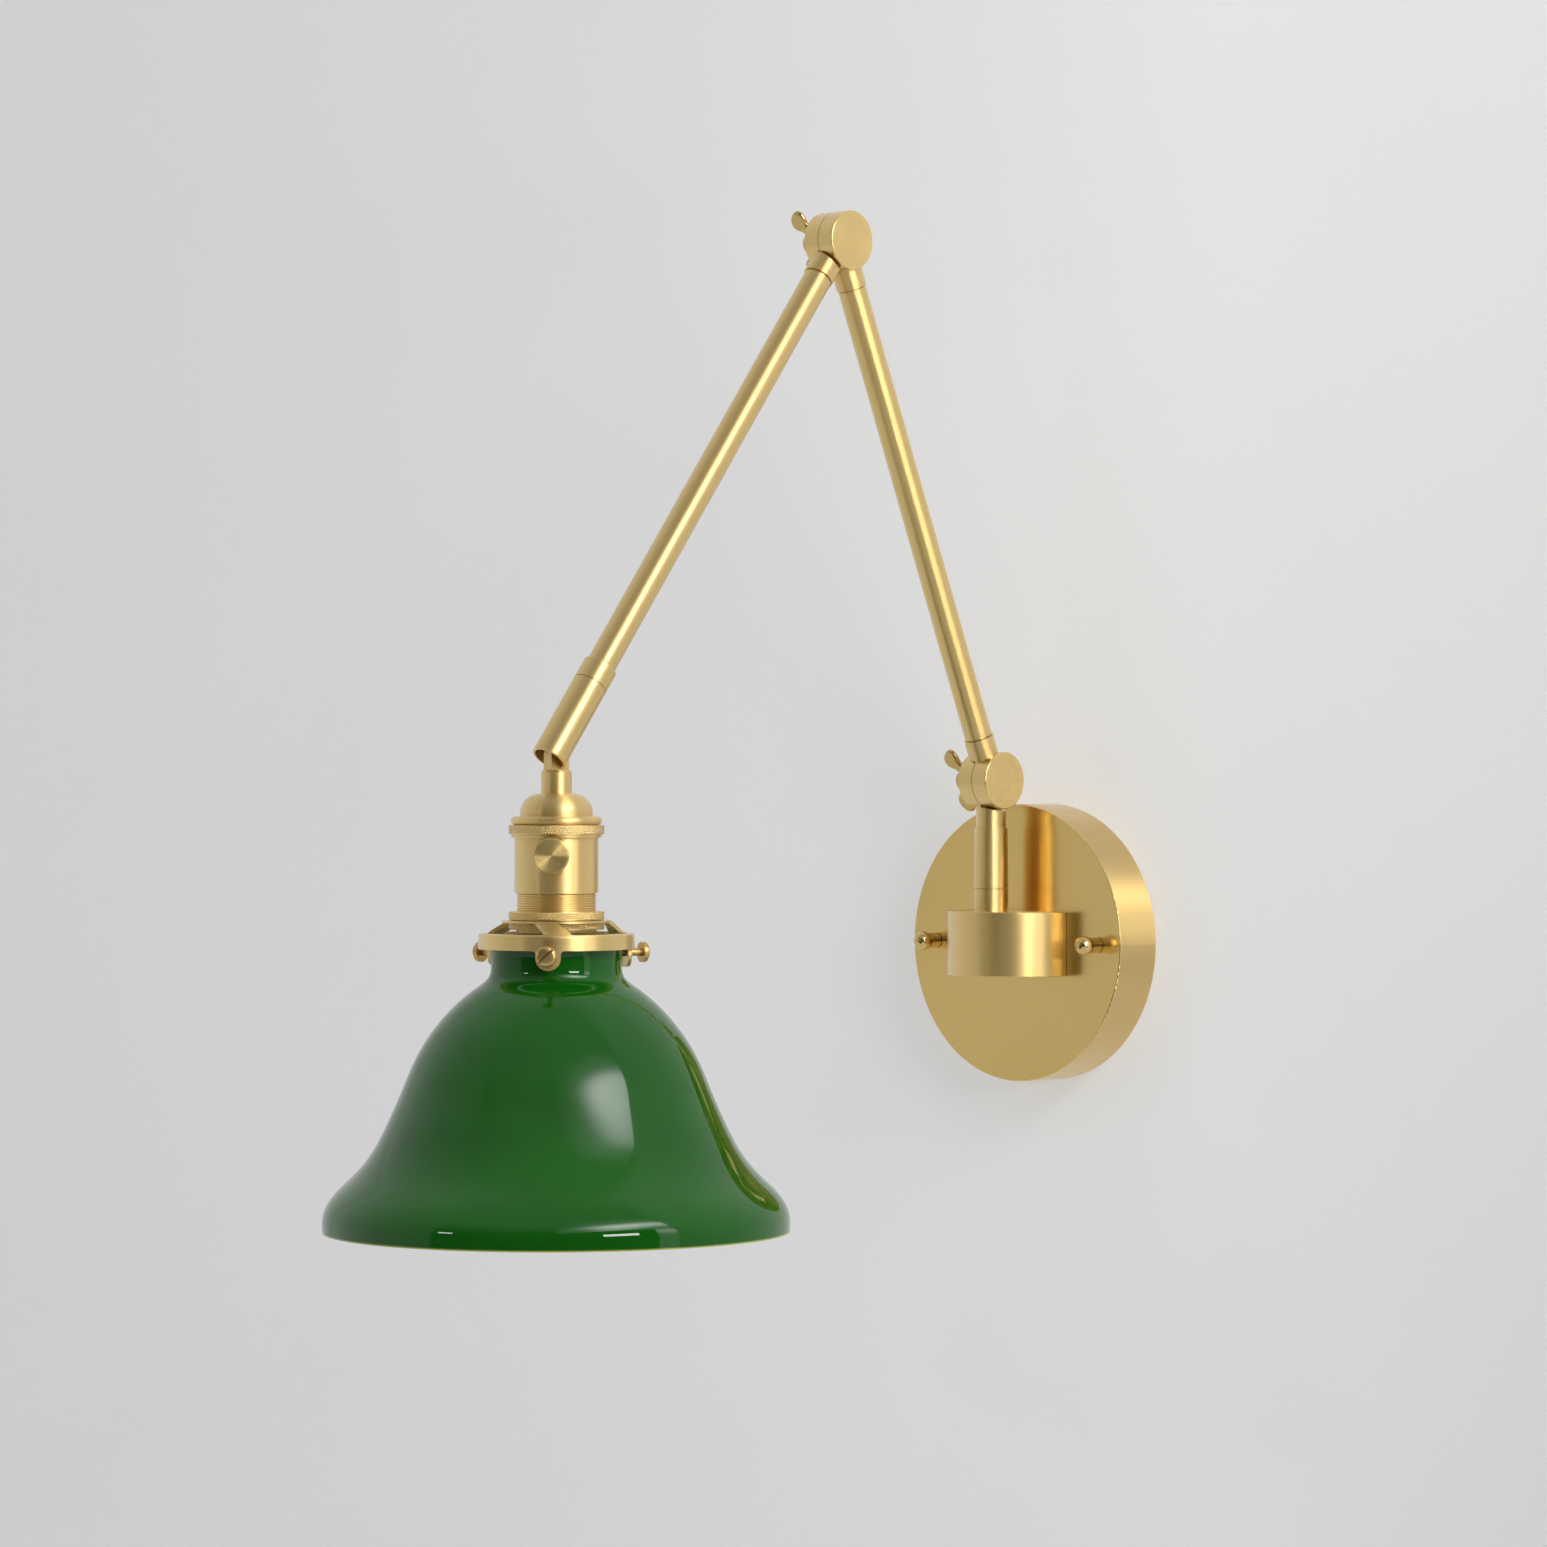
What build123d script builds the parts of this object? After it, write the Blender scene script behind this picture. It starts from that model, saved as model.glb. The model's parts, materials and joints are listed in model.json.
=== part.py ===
from build123d import *
from math import cos, pi, radians, sin, sqrt
import os

os.makedirs("parts", exist_ok=True)

# Swing arm wall lamp, sizes in millimetres.
# The wall is the plane y = 0 and the lamp stands out of it towards -Y, with +Z up.
# The origin is the centre of the crossbar's back, where the lamp meets the wall.

# Clearances
running_fit = 0.05
body_gap = 0.3
seat_gap = 0.1

# Canopy and crossbar
canopy_diameter = 130.0
canopy_depth = 25.0
canopy_wall = 1.6
canopy_edge = 0.5
crossbar_length = 114.0
crossbar_width = 20.0
crossbar_thickness = 2.0
crossbar_supply_hole_diameter = 12.0
box_screw_spacing = 79.5
box_screw_slot_length = 14.0
box_screw_slot_width = 4.5
stud_spacing = 101.6
stud_diameter = 4.0
stud_hole_play = 0.3
stud_nut_height = 3.2
stud_nut_width = 7.0
ball_nut_diameter = 9.0
ball_nut_neck_diameter = 7.4
ball_nut_reach = 9.0
ground_screw_offset = 15.0
ground_screw_diameter = 4.0
ground_screw_head_width = 7.0
ground_screw_head_height = 2.6
ground_screw_length = 6.0

# Half-round boss
boss_radius = 32.0
boss_height = 30.0
boss_wall = 3.0
boss_edge = 0.6
boss_post_offset = 19.0
boss_post_diameter = 9.0
boss_screw_diameter = 4.0
boss_screw_length = 16.0
boss_screw_head_diameter = 7.6
boss_screw_head_height = 2.2
boss_wire_hole_diameter = 12.0

# Stem and its swivel
stem_stand_off = 17.0
stem_foot_diameter = 16.2
stem_top_diameter = 15.5
base_ferrule_height = 10.6
base_shank_diameter = 12.0
base_shank_length = 9.5
base_nut_width = 17.0
base_nut_height = 4.0
swivel_spigot_diameter = 11.0
swivel_spigot_length = 16.0
swivel_nut_diameter = 12.8
swivel_nut_height = 3.5
stem_bearing_length = 12.0
stem_bore_diameter = 13.4
wire_bore_diameter = 6.0

# Friction knuckles, one at the stem and one at the elbow
knuckle_diameter = 26.8
knuckle_half_depth = 8.8
knuckle_seam = 0.3
knuckle_swing_gap = 1.0
knuckle_edge = 0.6
neck_diameter = 14.0
neck_length = 22.0
neck_spigot_length = 8.0
pocket_diameter = 19.0
pocket_depth = 3.4
pocket_post_diameter = 9.6
pivot_bolt_diameter = 6.0
pivot_bolt_grip = 6.0
spring_washer_diameter = 12.4
spring_washer_thickness = 1.0
wing_hub_base_diameter = 11.6
wing_hub_tip_diameter = 9.6
wing_hub_height = 8.4
wing_ear_thickness = 3.2
wing_ear_reach = 10.3
wing_ear_rise = 10.6
wing_lobe_diameter = 8.2
wing_root_width = 4.6
wing_root_inset = 1.2
wing_ear_edge = 0.9
wall_wing_lean = 28.0
elbow_wing_lean = 27.0

# Arms
knuckle_height = 76.1
lower_arm_length = 265.0
lower_arm_lean = 22.76
upper_arm_length = 287.5
upper_arm_lean = 37.3
tube_diameter = 13.0
tube_wall = 1.0
tube_groove = 0.6

# Collar and slotted sleeve of the head joint
sleeve_diameter = 15.4
sleeve_wall = 1.2
sleeve_seam_height = 32.4
sleeve_end_drop = 7.6
sleeve_bearing_length = 7.6
sleeve_edge = 0.4
collar_length = 10.6
collar_edge = 0.8
collar_socket_depth = 6.0
collar_spigot_diameter = 10.0
collar_spigot_length = 12.0
collar_nut_diameter = 12.4
collar_nut_height = 3.4
tongue_thickness = 4.9
tongue_width = 10.4
tongue_side_gap = 0.35
slot_rise = 5.8
tilt_pin_diameter = 4.0
tilt_pin_cover = 0.4

# Head, from the tilt pin downwards
neck_drop = 10.9
head_neck_diameter = 13.4
head_neck_length = 9.9
head_neck_edge = 0.9
head_spigot_diameter = 8.0
head_spigot_length = 7.0
neck_nut_width = 11.4
neck_nut_height = 3.0
cap_wall = 1.2
dome_foot_diameter = 31.4
dome_height = 9.8
dome_bulge = 3.1
shoulder_diameter = 38.4
shoulder_height = 3.9
shoulder_edge = 1.7
cap_ring_diameter = 41.2
cap_ring_height = 3.9
cap_ring_edge = 0.35
cap_lip_diameter = 39.0
cap_lip_height = 1.6
shell_diameter = 36.2
shell_body_height = 23.5
shell_engagement = 4.5
shell_wall = 0.9
thread_diameter = 34.2
thread_length = 16.8
thread_pitch = 1.0
thread_depth = 0.4
liner_thickness = 0.8
liner_end_gap = 1.5
core_height = 18.0
core_top_gap = 2.0
screw_shell_diameter = 27.8
screw_shell_wall = 0.5
screw_shell_length = 18.5
screw_thread_pitch = 3.6
screw_thread_depth = 0.6
contact_diameter = 7.0
contact_height = 2.2

# Turn switch
switch_azimuth = 42.0
switch_drop = 7.3
switch_bushing_diameter = 7.0
switch_bushing_reach = 2.2
switch_shaft_diameter = 4.0
switch_shaft_depth = 9.0
knob_diameter = 15.2
knob_thickness = 4.6
knob_reach = 8.2
knob_edge = 0.4

# Shade gallery and its rings
gallery_seat_rise = 5.0
gallery_plate_thickness = 1.0
gallery_plate_diameter = 47.0
gallery_diameter = 67.2
gallery_wall = 1.8
gallery_drop = 5.5
gallery_band_height = 6.7
gallery_flange_width = 3.6
gallery_flange_thickness = 1.4
gallery_top_edge = 1.2
spoke_count = 3
spoke_swirl = 24.0
spoke_top_width = 7.4
spoke_foot_width = 11.4
spoke_thickness = 1.2
lug_azimuth = 40.8
lug_width = 10.7
lug_drop = 8.4
lug_corner = 1.6
shade_ring_diameter = 41.2
upper_ring_height = 3.6
lower_ring_height = 2.6
shade_ring_edge = 0.35
gallery_screw_drop = 2.1
gallery_screw_diameter = 3.3
gallery_screw_head_diameter = 8.8
gallery_screw_head_thickness = 1.6
gallery_screw_dome = 1.3
gallery_screw_reach = 41.4
gallery_screw_slot_width = 1.0
gallery_screw_slot_depth = 1.1
gallery_screw_slot_lean = 28.0

# Glass shade
fitter_diameter = 56.4
fitter_lip_diameter = 58.6
fitter_lip_height = 3.0
fitter_lip_slope = 1.4
fitter_length = 15.3
glass_thickness = 2.2
lining_thickness = 0.8
bell_foot_slope = 0.04
bell_end_pulls = (1.0, 0.35)
glass_seat_gap = 0.2
# The bell's outline below the fitter: radius, and depth below the glass's top edge
bell_outline = [
    (29.7, 18.5),
    (36.2, 22.9),
    (43.9, 29.4),
    (53.3, 40.0),
    (61.2, 52.9),
    (66.8, 66.5),
    (73.6, 82.8),
    (78.6, 91.8),
    (85.4, 100.7),
    (94.0, 108.5),
    (98.9, 115.0),
    (100.5, 120.8),
    (100.3, 126.3),
]

# Electrical leads
lead_diameter = 2.0
lead_spacing = 2.4
lead_bend = 6.0
supply_lead_inset = 11.0
supply_lead_drop = 30.0
ground_lead_rise = 3.0
ground_lead_drop = 26.0
ground_lead_reach = 12.0

# Places worked out from the sizes
plate_y = -canopy_depth
stem_y = plate_y - stem_stand_off
boss_top = boss_height / 2
base_ferrule_top = boss_top + base_ferrule_height
wall_pivot = Vector(0, stem_y, knuckle_height)
lower_arm_way = Vector(0, -sin(radians(lower_arm_lean)), cos(radians(lower_arm_lean)))
elbow_pivot = wall_pivot + lower_arm_way * lower_arm_length
upper_arm_way = Vector(0, -sin(radians(upper_arm_lean)), -cos(radians(upper_arm_lean)))
head_pivot = elbow_pivot + upper_arm_way * upper_arm_length
head_y = head_pivot.Y
neck_top = head_pivot.Z - neck_drop
cap_top = neck_top - head_neck_length
shoulder_top = cap_top - dome_height
cap_ring_top = shoulder_top - shoulder_height
cap_ring_foot = cap_ring_top - cap_ring_height
shell_top = cap_ring_foot - cap_lip_height
thread_top = shell_top - shell_body_height
shell_foot = thread_top - thread_length
shell_inner_radius = thread_diameter / 2 - thread_depth - shell_wall / 2
plate_top = shell_foot + gallery_seat_rise
plate_foot = plate_top - gallery_plate_thickness
band_top = plate_top - gallery_drop
band_foot = band_top - gallery_band_height
glass_top = band_top - gallery_flange_thickness - glass_seat_gap
gallery_screw_z = band_foot - gallery_screw_drop
switch_z = shell_top - switch_drop
tube_inner_radius = tube_diameter / 2 - tube_wall

# Working planes
wall_plane = Plane.XZ
face_plane = Plane.XZ.offset(canopy_depth)
stem_section = Plane(origin=(0, stem_y, 0), x_dir=(1, 0, 0), z_dir=(0, -1, 0))
stem_axis = Axis((0, stem_y, 0), (0, 0, 1))
head_section = Plane(origin=(0, head_y, 0), x_dir=(1, 0, 0), z_dir=(0, -1, 0))
head_axis = Axis((0, head_y, 0), (0, 0, 1))
sleeve_up = upper_arm_way * -1
sleeve_section = Plane(origin=head_pivot, x_dir=(1, 0, 0), z_dir=Vector(1, 0, 0).cross(sleeve_up))
sleeve_axis = Axis(head_pivot, sleeve_up)


def compass(azimuth):
    """Unit vector in the level plane: 0 degrees faces the room and 90 degrees faces +X."""
    return Vector(sin(radians(azimuth)), -cos(radians(azimuth)), 0)


def radial_plane(azimuth, height):
    """Plane on the head's axis, facing outwards along an azimuth, with its own y axis up."""
    out = compass(azimuth)
    return Plane(origin=(0, head_y, height), x_dir=Vector(0, 0, 1).cross(out), z_dir=out)


def save(shape, name):
    shape.label = name
    export_step(shape, f"parts/{name}.step")


# Canopy: a drawn brass cup, open towards the wall
with BuildPart() as canopy:
    with BuildSketch(wall_plane):
        Circle(canopy_diameter / 2)
    extrude(amount=canopy_depth)
    fillet(canopy.edges().filter_by(GeomType.CIRCLE).sort_by(Axis.Y)[0], canopy_edge)
    with BuildSketch(wall_plane):
        Circle(canopy_diameter / 2 - canopy_wall)
    extrude(amount=canopy_depth - canopy_wall, mode=Mode.SUBTRACT)
    with BuildSketch(face_plane):
        with GridLocations(stud_spacing, 0, 2, 1):
            Circle(stud_diameter / 2 + stud_hole_play)
        with GridLocations(2 * boss_post_offset, 0, 2, 1):
            Circle(boss_screw_diameter / 2 + stud_hole_play)
        Circle(boss_wire_hole_diameter / 2)
    extrude(amount=-canopy_depth, mode=Mode.SUBTRACT)
save(canopy.part, "canopy")

# Crossbar: a steel strap on the wall box, with slots for the box screws
with BuildPart() as crossbar:
    with BuildSketch(wall_plane):
        SlotOverall(crossbar_length, crossbar_width)
        Circle(crossbar_supply_hole_diameter / 2, mode=Mode.SUBTRACT)
        with GridLocations(box_screw_spacing, 0, 2, 1):
            SlotOverall(box_screw_slot_length, box_screw_slot_width, mode=Mode.SUBTRACT)
        with GridLocations(stud_spacing, 0, 2, 1):
            Circle(stud_diameter / 2, mode=Mode.SUBTRACT)
        with Locations((-ground_screw_offset, 0)):
            Circle(ground_screw_diameter / 2, mode=Mode.SUBTRACT)
    extrude(amount=crossbar_thickness)
save(crossbar.part, "crossbar")

# Studs: two threaded rods from the crossbar out through the canopy's face
with BuildPart() as canopy_studs:
    with BuildSketch(wall_plane):
        with GridLocations(stud_spacing, 0, 2, 1):
            Circle(stud_diameter / 2)
    extrude(amount=canopy_depth + ball_nut_reach)
save(canopy_studs.part, "canopy_studs")

with BuildPart() as stud_nuts:
    with BuildSketch(wall_plane.offset(crossbar_thickness)):
        with GridLocations(stud_spacing, 0, 2, 1):
            RegularPolygon(stud_nut_width / 2, 6, major_radius=False)
            Circle(stud_diameter / 2, mode=Mode.SUBTRACT)
    extrude(amount=stud_nut_height)
save(stud_nuts.part, "stud_nuts")

# Ball nuts: one on each stud, outside the canopy
for side, name in ((-1, "ball_nut_left"), (1, "ball_nut_right")):
    nut_section = Plane(origin=(side * stud_spacing / 2, plate_y, 0), x_dir=(1, 0, 0), z_dir=(0, 0, 1))
    nut_axis = Axis((side * stud_spacing / 2, plate_y, 0), (0, 1, 0))
    ball_radius = ball_nut_diameter / 2
    neck_radius = ball_nut_neck_diameter / 2
    neck_reach = ball_nut_reach - sqrt(ball_radius**2 - neck_radius**2)
    bore_radius = stud_diameter / 2 + running_fit
    with BuildPart() as ball_nut:
        with BuildSketch(nut_section):
            with BuildLine():
                Polyline(
                    (0, -ball_nut_reach - ball_radius),
                    (0, -ball_nut_reach - body_gap),
                    (bore_radius, -ball_nut_reach - body_gap),
                    (bore_radius, -body_gap),
                    (neck_radius, -body_gap),
                    (neck_radius, -neck_reach),
                )
                ThreePointArc(
                    (neck_radius, -neck_reach),
                    (ball_radius, -ball_nut_reach),
                    (0, -ball_nut_reach - ball_radius),
                )
            make_face()
        revolve(axis=nut_axis)
    save(ball_nut.part, name)

with BuildPart() as ground_screw:
    with BuildSketch(wall_plane):
        with Locations((-ground_screw_offset, 0)):
            Circle(ground_screw_diameter / 2)
    extrude(amount=ground_screw_length)
    with BuildSketch(wall_plane.offset(ground_screw_length)):
        with Locations((-ground_screw_offset, 0)):
            RegularPolygon(ground_screw_head_width / 2, 6, major_radius=False)
    extrude(amount=ground_screw_head_height)
save(ground_screw.part, "ground_screw")

# Boss: a hollow half-round block on the canopy's face, standing on its flat side
with BuildPart() as boss:
    with BuildSketch(Plane.XY.offset(-boss_height / 2)):
        with BuildLine():
            CenterArc((0, plate_y), boss_radius, 180, 180)
            Line((-boss_radius, plate_y), (boss_radius, plate_y))
        make_face()
    extrude(amount=boss_height)
    fillet(boss.edges().filter_by(GeomType.CIRCLE), boss_edge)
    with BuildSketch(Plane.XY.offset(-boss_height / 2 + boss_wall)):
        with BuildLine():
            CenterArc((0, plate_y), boss_radius - boss_wall, 180, 180)
            Line((-boss_radius + boss_wall, plate_y), (boss_radius - boss_wall, plate_y))
        make_face()
    extrude(amount=boss_height - 2 * boss_wall, mode=Mode.SUBTRACT)
    with BuildSketch(face_plane):
        with GridLocations(2 * boss_post_offset, 0, 2, 1):
            Circle(boss_post_diameter / 2)
    extrude(until=Until.NEXT)
    with BuildSketch(face_plane):
        with GridLocations(2 * boss_post_offset, 0, 2, 1):
            Circle(boss_screw_diameter / 2)
    extrude(amount=boss_screw_length - canopy_wall, mode=Mode.SUBTRACT)
    with BuildSketch(Plane.XY.offset(boss_top)):
        with Locations((0, stem_y)):
            Circle(base_shank_diameter / 2)
    extrude(amount=-2 * boss_wall, mode=Mode.SUBTRACT)
save(boss.part, "boss")

with BuildPart() as boss_screws:
    with BuildSketch(face_plane.offset(-canopy_wall)):
        with GridLocations(2 * boss_post_offset, 0, 2, 1):
            Circle(boss_screw_diameter / 2)
    extrude(amount=boss_screw_length)
    with BuildSketch(face_plane.offset(-canopy_wall)):
        with GridLocations(2 * boss_post_offset, 0, 2, 1):
            Circle(boss_screw_head_diameter / 2)
    extrude(amount=-boss_screw_head_height)
save(boss_screws.part, "boss_screws")

# Base ferrule: bolted down through the boss, with the spigot that the stem turns on
with BuildPart() as base_ferrule:
    with BuildSketch(stem_section):
        with BuildLine():
            Polyline(
                (wire_bore_diameter / 2, boss_top - base_shank_length),
                (base_shank_diameter / 2, boss_top - base_shank_length),
                (base_shank_diameter / 2, boss_top),
                (stem_foot_diameter / 2, boss_top),
                (stem_foot_diameter / 2, base_ferrule_top),
                (swivel_spigot_diameter / 2, base_ferrule_top),
                (swivel_spigot_diameter / 2, base_ferrule_top + swivel_spigot_length),
                (wire_bore_diameter / 2, base_ferrule_top + swivel_spigot_length),
                close=True,
            )
        make_face()
    revolve(axis=stem_axis)
save(base_ferrule.part, "base_ferrule")

with BuildPart() as base_nut:
    with BuildSketch(Plane.XY.offset(boss_top - boss_wall)):
        with Locations((0, stem_y)):
            RegularPolygon(base_nut_width / 2, 6, major_radius=False)
            Circle(base_shank_diameter / 2, mode=Mode.SUBTRACT)
    extrude(amount=-base_nut_height)
save(base_nut.part, "base_nut")

# Swivel nut: keeps the stem on the spigot, out of sight inside the stem
with BuildPart() as swivel_nut:
    with BuildSketch(Plane.XY.offset(base_ferrule_top + swivel_spigot_length)):
        with Locations((0, stem_y)):
            Circle(swivel_nut_diameter / 2)
            Circle(swivel_spigot_diameter / 2, mode=Mode.SUBTRACT)
    extrude(amount=-swivel_nut_height)
save(swivel_nut.part, "swivel_nut")

# Stem: a slightly tapered sleeve that turns on the base ferrule
stem_foot = base_ferrule_top + body_gap
stem_top = knuckle_height - neck_length
stem_neck_grip_radius = stem_bore_diameter / 2
with BuildPart() as stem_sleeve:
    with BuildSketch(stem_section):
        with BuildLine():
            Polyline(
                (swivel_spigot_diameter / 2 + running_fit, stem_foot),
                (stem_foot_diameter / 2, stem_foot),
                (stem_top_diameter / 2, stem_top),
                (stem_bore_diameter / 2, stem_top),
                (stem_bore_diameter / 2, stem_foot + stem_bearing_length),
                (swivel_spigot_diameter / 2 + running_fit, stem_foot + stem_bearing_length),
                close=True,
            )
        make_face()
    revolve(axis=stem_axis)
save(stem_sleeve.part, "stem_sleeve")


def knuckle_half(pivot, neck_way, side, bolt_hole_depth, spigot_radius):
    """Half of a friction knuckle: a flat disc on one side of the seam and a neck in line with the seam."""
    neck_plane = Plane(origin=pivot, x_dir=(1, 0, 0), z_dir=neck_way)
    seam_plane = Plane(origin=pivot, x_dir=neck_way, z_dir=(side, 0, 0)).offset(knuckle_seam / 2)
    outward = Axis(pivot, (side, 0, 0))
    with BuildPart() as half:
        with BuildSketch(seam_plane):
            Circle(knuckle_diameter / 2)
        extrude(amount=knuckle_half_depth - knuckle_seam / 2)
        fillet(half.edges().filter_by(GeomType.CIRCLE).sort_by(outward)[-1], knuckle_edge)
        with BuildSketch(neck_plane):
            Circle(neck_diameter / 2)
        extrude(amount=neck_length)
        with BuildSketch(neck_plane.offset(neck_length)):
            Circle(spigot_radius)
        extrude(amount=neck_spigot_length)
        with BuildSketch(seam_plane):
            Circle(knuckle_diameter / 2 + knuckle_swing_gap)
        extrude(amount=-neck_diameter, mode=Mode.SUBTRACT)
        with BuildSketch(neck_plane.offset(pocket_post_diameter / 2)):
            Circle(wire_bore_diameter / 2)
        extrude(amount=neck_length + neck_spigot_length, mode=Mode.SUBTRACT)
        with BuildSketch(seam_plane):
            Circle(pocket_diameter / 2)
            Circle(pocket_post_diameter / 2, mode=Mode.SUBTRACT)
        extrude(amount=pocket_depth, mode=Mode.SUBTRACT)
        with BuildSketch(seam_plane):
            Circle(pivot_bolt_diameter / 2 + running_fit)
        extrude(amount=bolt_hole_depth, mode=Mode.SUBTRACT)
    return half.part


def pivot_bolt(pivot):
    """Bolt held in the knuckle's plain half and running through the other half to the wing nut."""
    reach = knuckle_half_depth + spring_washer_thickness + body_gap + wing_hub_height
    with BuildPart() as bolt:
        with BuildSketch(Plane(origin=pivot, x_dir=(0, 1, 0), z_dir=(-1, 0, 0)).offset(-pivot_bolt_grip)):
            Circle(pivot_bolt_diameter / 2)
        extrude(amount=pivot_bolt_grip + reach)
    return bolt.part


def spring_washer(pivot):
    with BuildPart() as washer:
        with BuildSketch(Plane(origin=pivot, x_dir=(0, 1, 0), z_dir=(-1, 0, 0)).offset(knuckle_half_depth)):
            Circle(spring_washer_diameter / 2)
            Circle(pivot_bolt_diameter / 2 + running_fit, mode=Mode.SUBTRACT)
        extrude(amount=spring_washer_thickness)
    return washer.part


def wing_nut(pivot, lean):
    """Wing nut on the knuckle's -X side, its ears leaning from the vertical towards the room at the top."""
    seat = knuckle_half_depth + spring_washer_thickness + body_gap
    base = pivot + Vector(-seat, 0, 0)
    away = Vector(-1, 0, 0)
    ear_way = Vector(0, -sin(radians(lean)), cos(radians(lean)))
    hub_plane = Plane(origin=base, x_dir=ear_way, z_dir=away)
    root_start = wing_hub_tip_diameter / 2 - wing_root_inset
    lobe_radius = wing_lobe_diameter / 2
    with BuildPart() as nut:
        with BuildSketch(hub_plane):
            Circle(wing_hub_base_diameter / 2)
        with BuildSketch(hub_plane.offset(wing_hub_height)):
            Circle(wing_hub_tip_diameter / 2)
        loft()
        for way in (ear_way, ear_way * -1):
            ear_plane = Plane(origin=base, x_dir=way, z_dir=way.cross(away))
            with BuildSketch(ear_plane):
                with Locations((wing_ear_reach, wing_ear_rise)):
                    Circle(lobe_radius)
                with BuildLine():
                    Polyline(
                        (root_start, wing_hub_height - wing_root_width - wing_root_inset),
                        (wing_ear_reach + lobe_radius / 2, wing_ear_rise - lobe_radius / 2),
                        (wing_ear_reach - lobe_radius / 2, wing_ear_rise + lobe_radius / 2),
                        (root_start, wing_hub_height - wing_root_inset),
                        close=True,
                    )
                make_face()
            extrude(amount=wing_ear_thickness / 2, both=True)
        with BuildSketch(hub_plane):
            Circle(pivot_bolt_diameter / 2 + running_fit)
        extrude(amount=wing_hub_height + wing_root_inset, mode=Mode.SUBTRACT)
    return nut.part


def arm_tube(start, way, length):
    """Round tube laid from one knuckle's neck towards the next."""
    with BuildPart() as tube:
        with BuildSketch(Plane(origin=start, x_dir=(1, 0, 0), z_dir=way)):
            Circle(tube_diameter / 2)
            Circle(tube_inner_radius, mode=Mode.SUBTRACT)
        extrude(amount=length)
    return tube.part


def twin_leads(start, way, length):
    """Two insulated leads side by side, straight along a tube."""
    with BuildPart() as leads:
        with BuildSketch(Plane(origin=start, x_dir=(1, 0, 0), z_dir=way)):
            with GridLocations(lead_spacing, 0, 2, 1):
                Circle(lead_diameter / 2)
        extrude(amount=length)
    return leads.part


through_bolt_hole = knuckle_half_depth
blind_bolt_hole = pivot_bolt_grip
tube_spigot_radius = tube_inner_radius - seat_gap
tube_start = neck_length + tube_groove
upward = Vector(0, 0, 1)

# Stem knuckle and the lower arm
save(
    knuckle_half(wall_pivot, upward * -1, -1, through_bolt_hole, stem_neck_grip_radius - seat_gap),
    "stem_knuckle",
)
save(spring_washer(wall_pivot), "wall_spring_washer")
save(wing_nut(wall_pivot, wall_wing_lean), "wall_wing_nut")
save(pivot_bolt(wall_pivot), "wall_pivot_bolt")
save(knuckle_half(wall_pivot, lower_arm_way, 1, blind_bolt_hole, tube_spigot_radius), "lower_arm_foot")
lower_tube_start = wall_pivot + lower_arm_way * tube_start
lower_tube_length = lower_arm_length - 2 * tube_start
save(arm_tube(lower_tube_start, lower_arm_way, lower_tube_length), "lower_arm_tube")
save(knuckle_half(elbow_pivot, lower_arm_way * -1, 1, blind_bolt_hole, tube_spigot_radius), "lower_arm_head")
save(twin_leads(lower_tube_start, lower_arm_way, lower_tube_length), "lower_arm_leads")

# Elbow and the upper arm
save(pivot_bolt(elbow_pivot), "elbow_pivot_bolt")
save(spring_washer(elbow_pivot), "elbow_spring_washer")
save(wing_nut(elbow_pivot, elbow_wing_lean), "elbow_wing_nut")
save(knuckle_half(elbow_pivot, upper_arm_way, -1, through_bolt_hole, tube_spigot_radius), "upper_arm_knuckle")
collar_top = sleeve_seam_height + collar_length
upper_tube_start = elbow_pivot + upper_arm_way * tube_start
upper_tube_length = upper_arm_length - tube_start - collar_top + collar_socket_depth
save(arm_tube(upper_tube_start, upper_arm_way, upper_tube_length), "upper_arm_tube")
save(twin_leads(upper_tube_start, upper_arm_way, upper_tube_length), "upper_arm_leads")
stem_leads_foot = base_ferrule_top + swivel_spigot_length + body_gap
stem_leads_top = knuckle_height - knuckle_diameter / 2 - knuckle_swing_gap - body_gap
save(
    twin_leads(Vector(0, stem_y, stem_leads_foot), upward, stem_leads_top - stem_leads_foot),
    "stem_leads",
)

# Collar: on the upper arm's end, with the spigot that the slotted sleeve turns on
with BuildPart() as collar:
    with BuildSketch(sleeve_section):
        with BuildLine():
            Polyline(
                (wire_bore_diameter / 2, sleeve_seam_height - collar_spigot_length),
                (collar_spigot_diameter / 2, sleeve_seam_height - collar_spigot_length),
                (collar_spigot_diameter / 2, sleeve_seam_height),
                (sleeve_diameter / 2, sleeve_seam_height),
                (sleeve_diameter / 2, collar_top - collar_edge),
                (sleeve_diameter / 2 - collar_edge, collar_top),
                (tube_diameter / 2, collar_top),
                (tube_diameter / 2, collar_top - collar_socket_depth),
                (wire_bore_diameter / 2, collar_top - collar_socket_depth),
                close=True,
            )
        make_face()
    revolve(axis=sleeve_axis)
save(collar.part, "upper_arm_collar")

collar_nut_foot = sleeve_seam_height - collar_spigot_length
with BuildPart() as collar_nut:
    with BuildSketch(Plane(origin=head_pivot, x_dir=(1, 0, 0), z_dir=sleeve_up).offset(collar_nut_foot)):
        Circle(collar_nut_diameter / 2)
        Circle(collar_spigot_diameter / 2, mode=Mode.SUBTRACT)
    extrude(amount=collar_nut_height)
save(collar_nut.part, "collar_nut")

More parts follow.
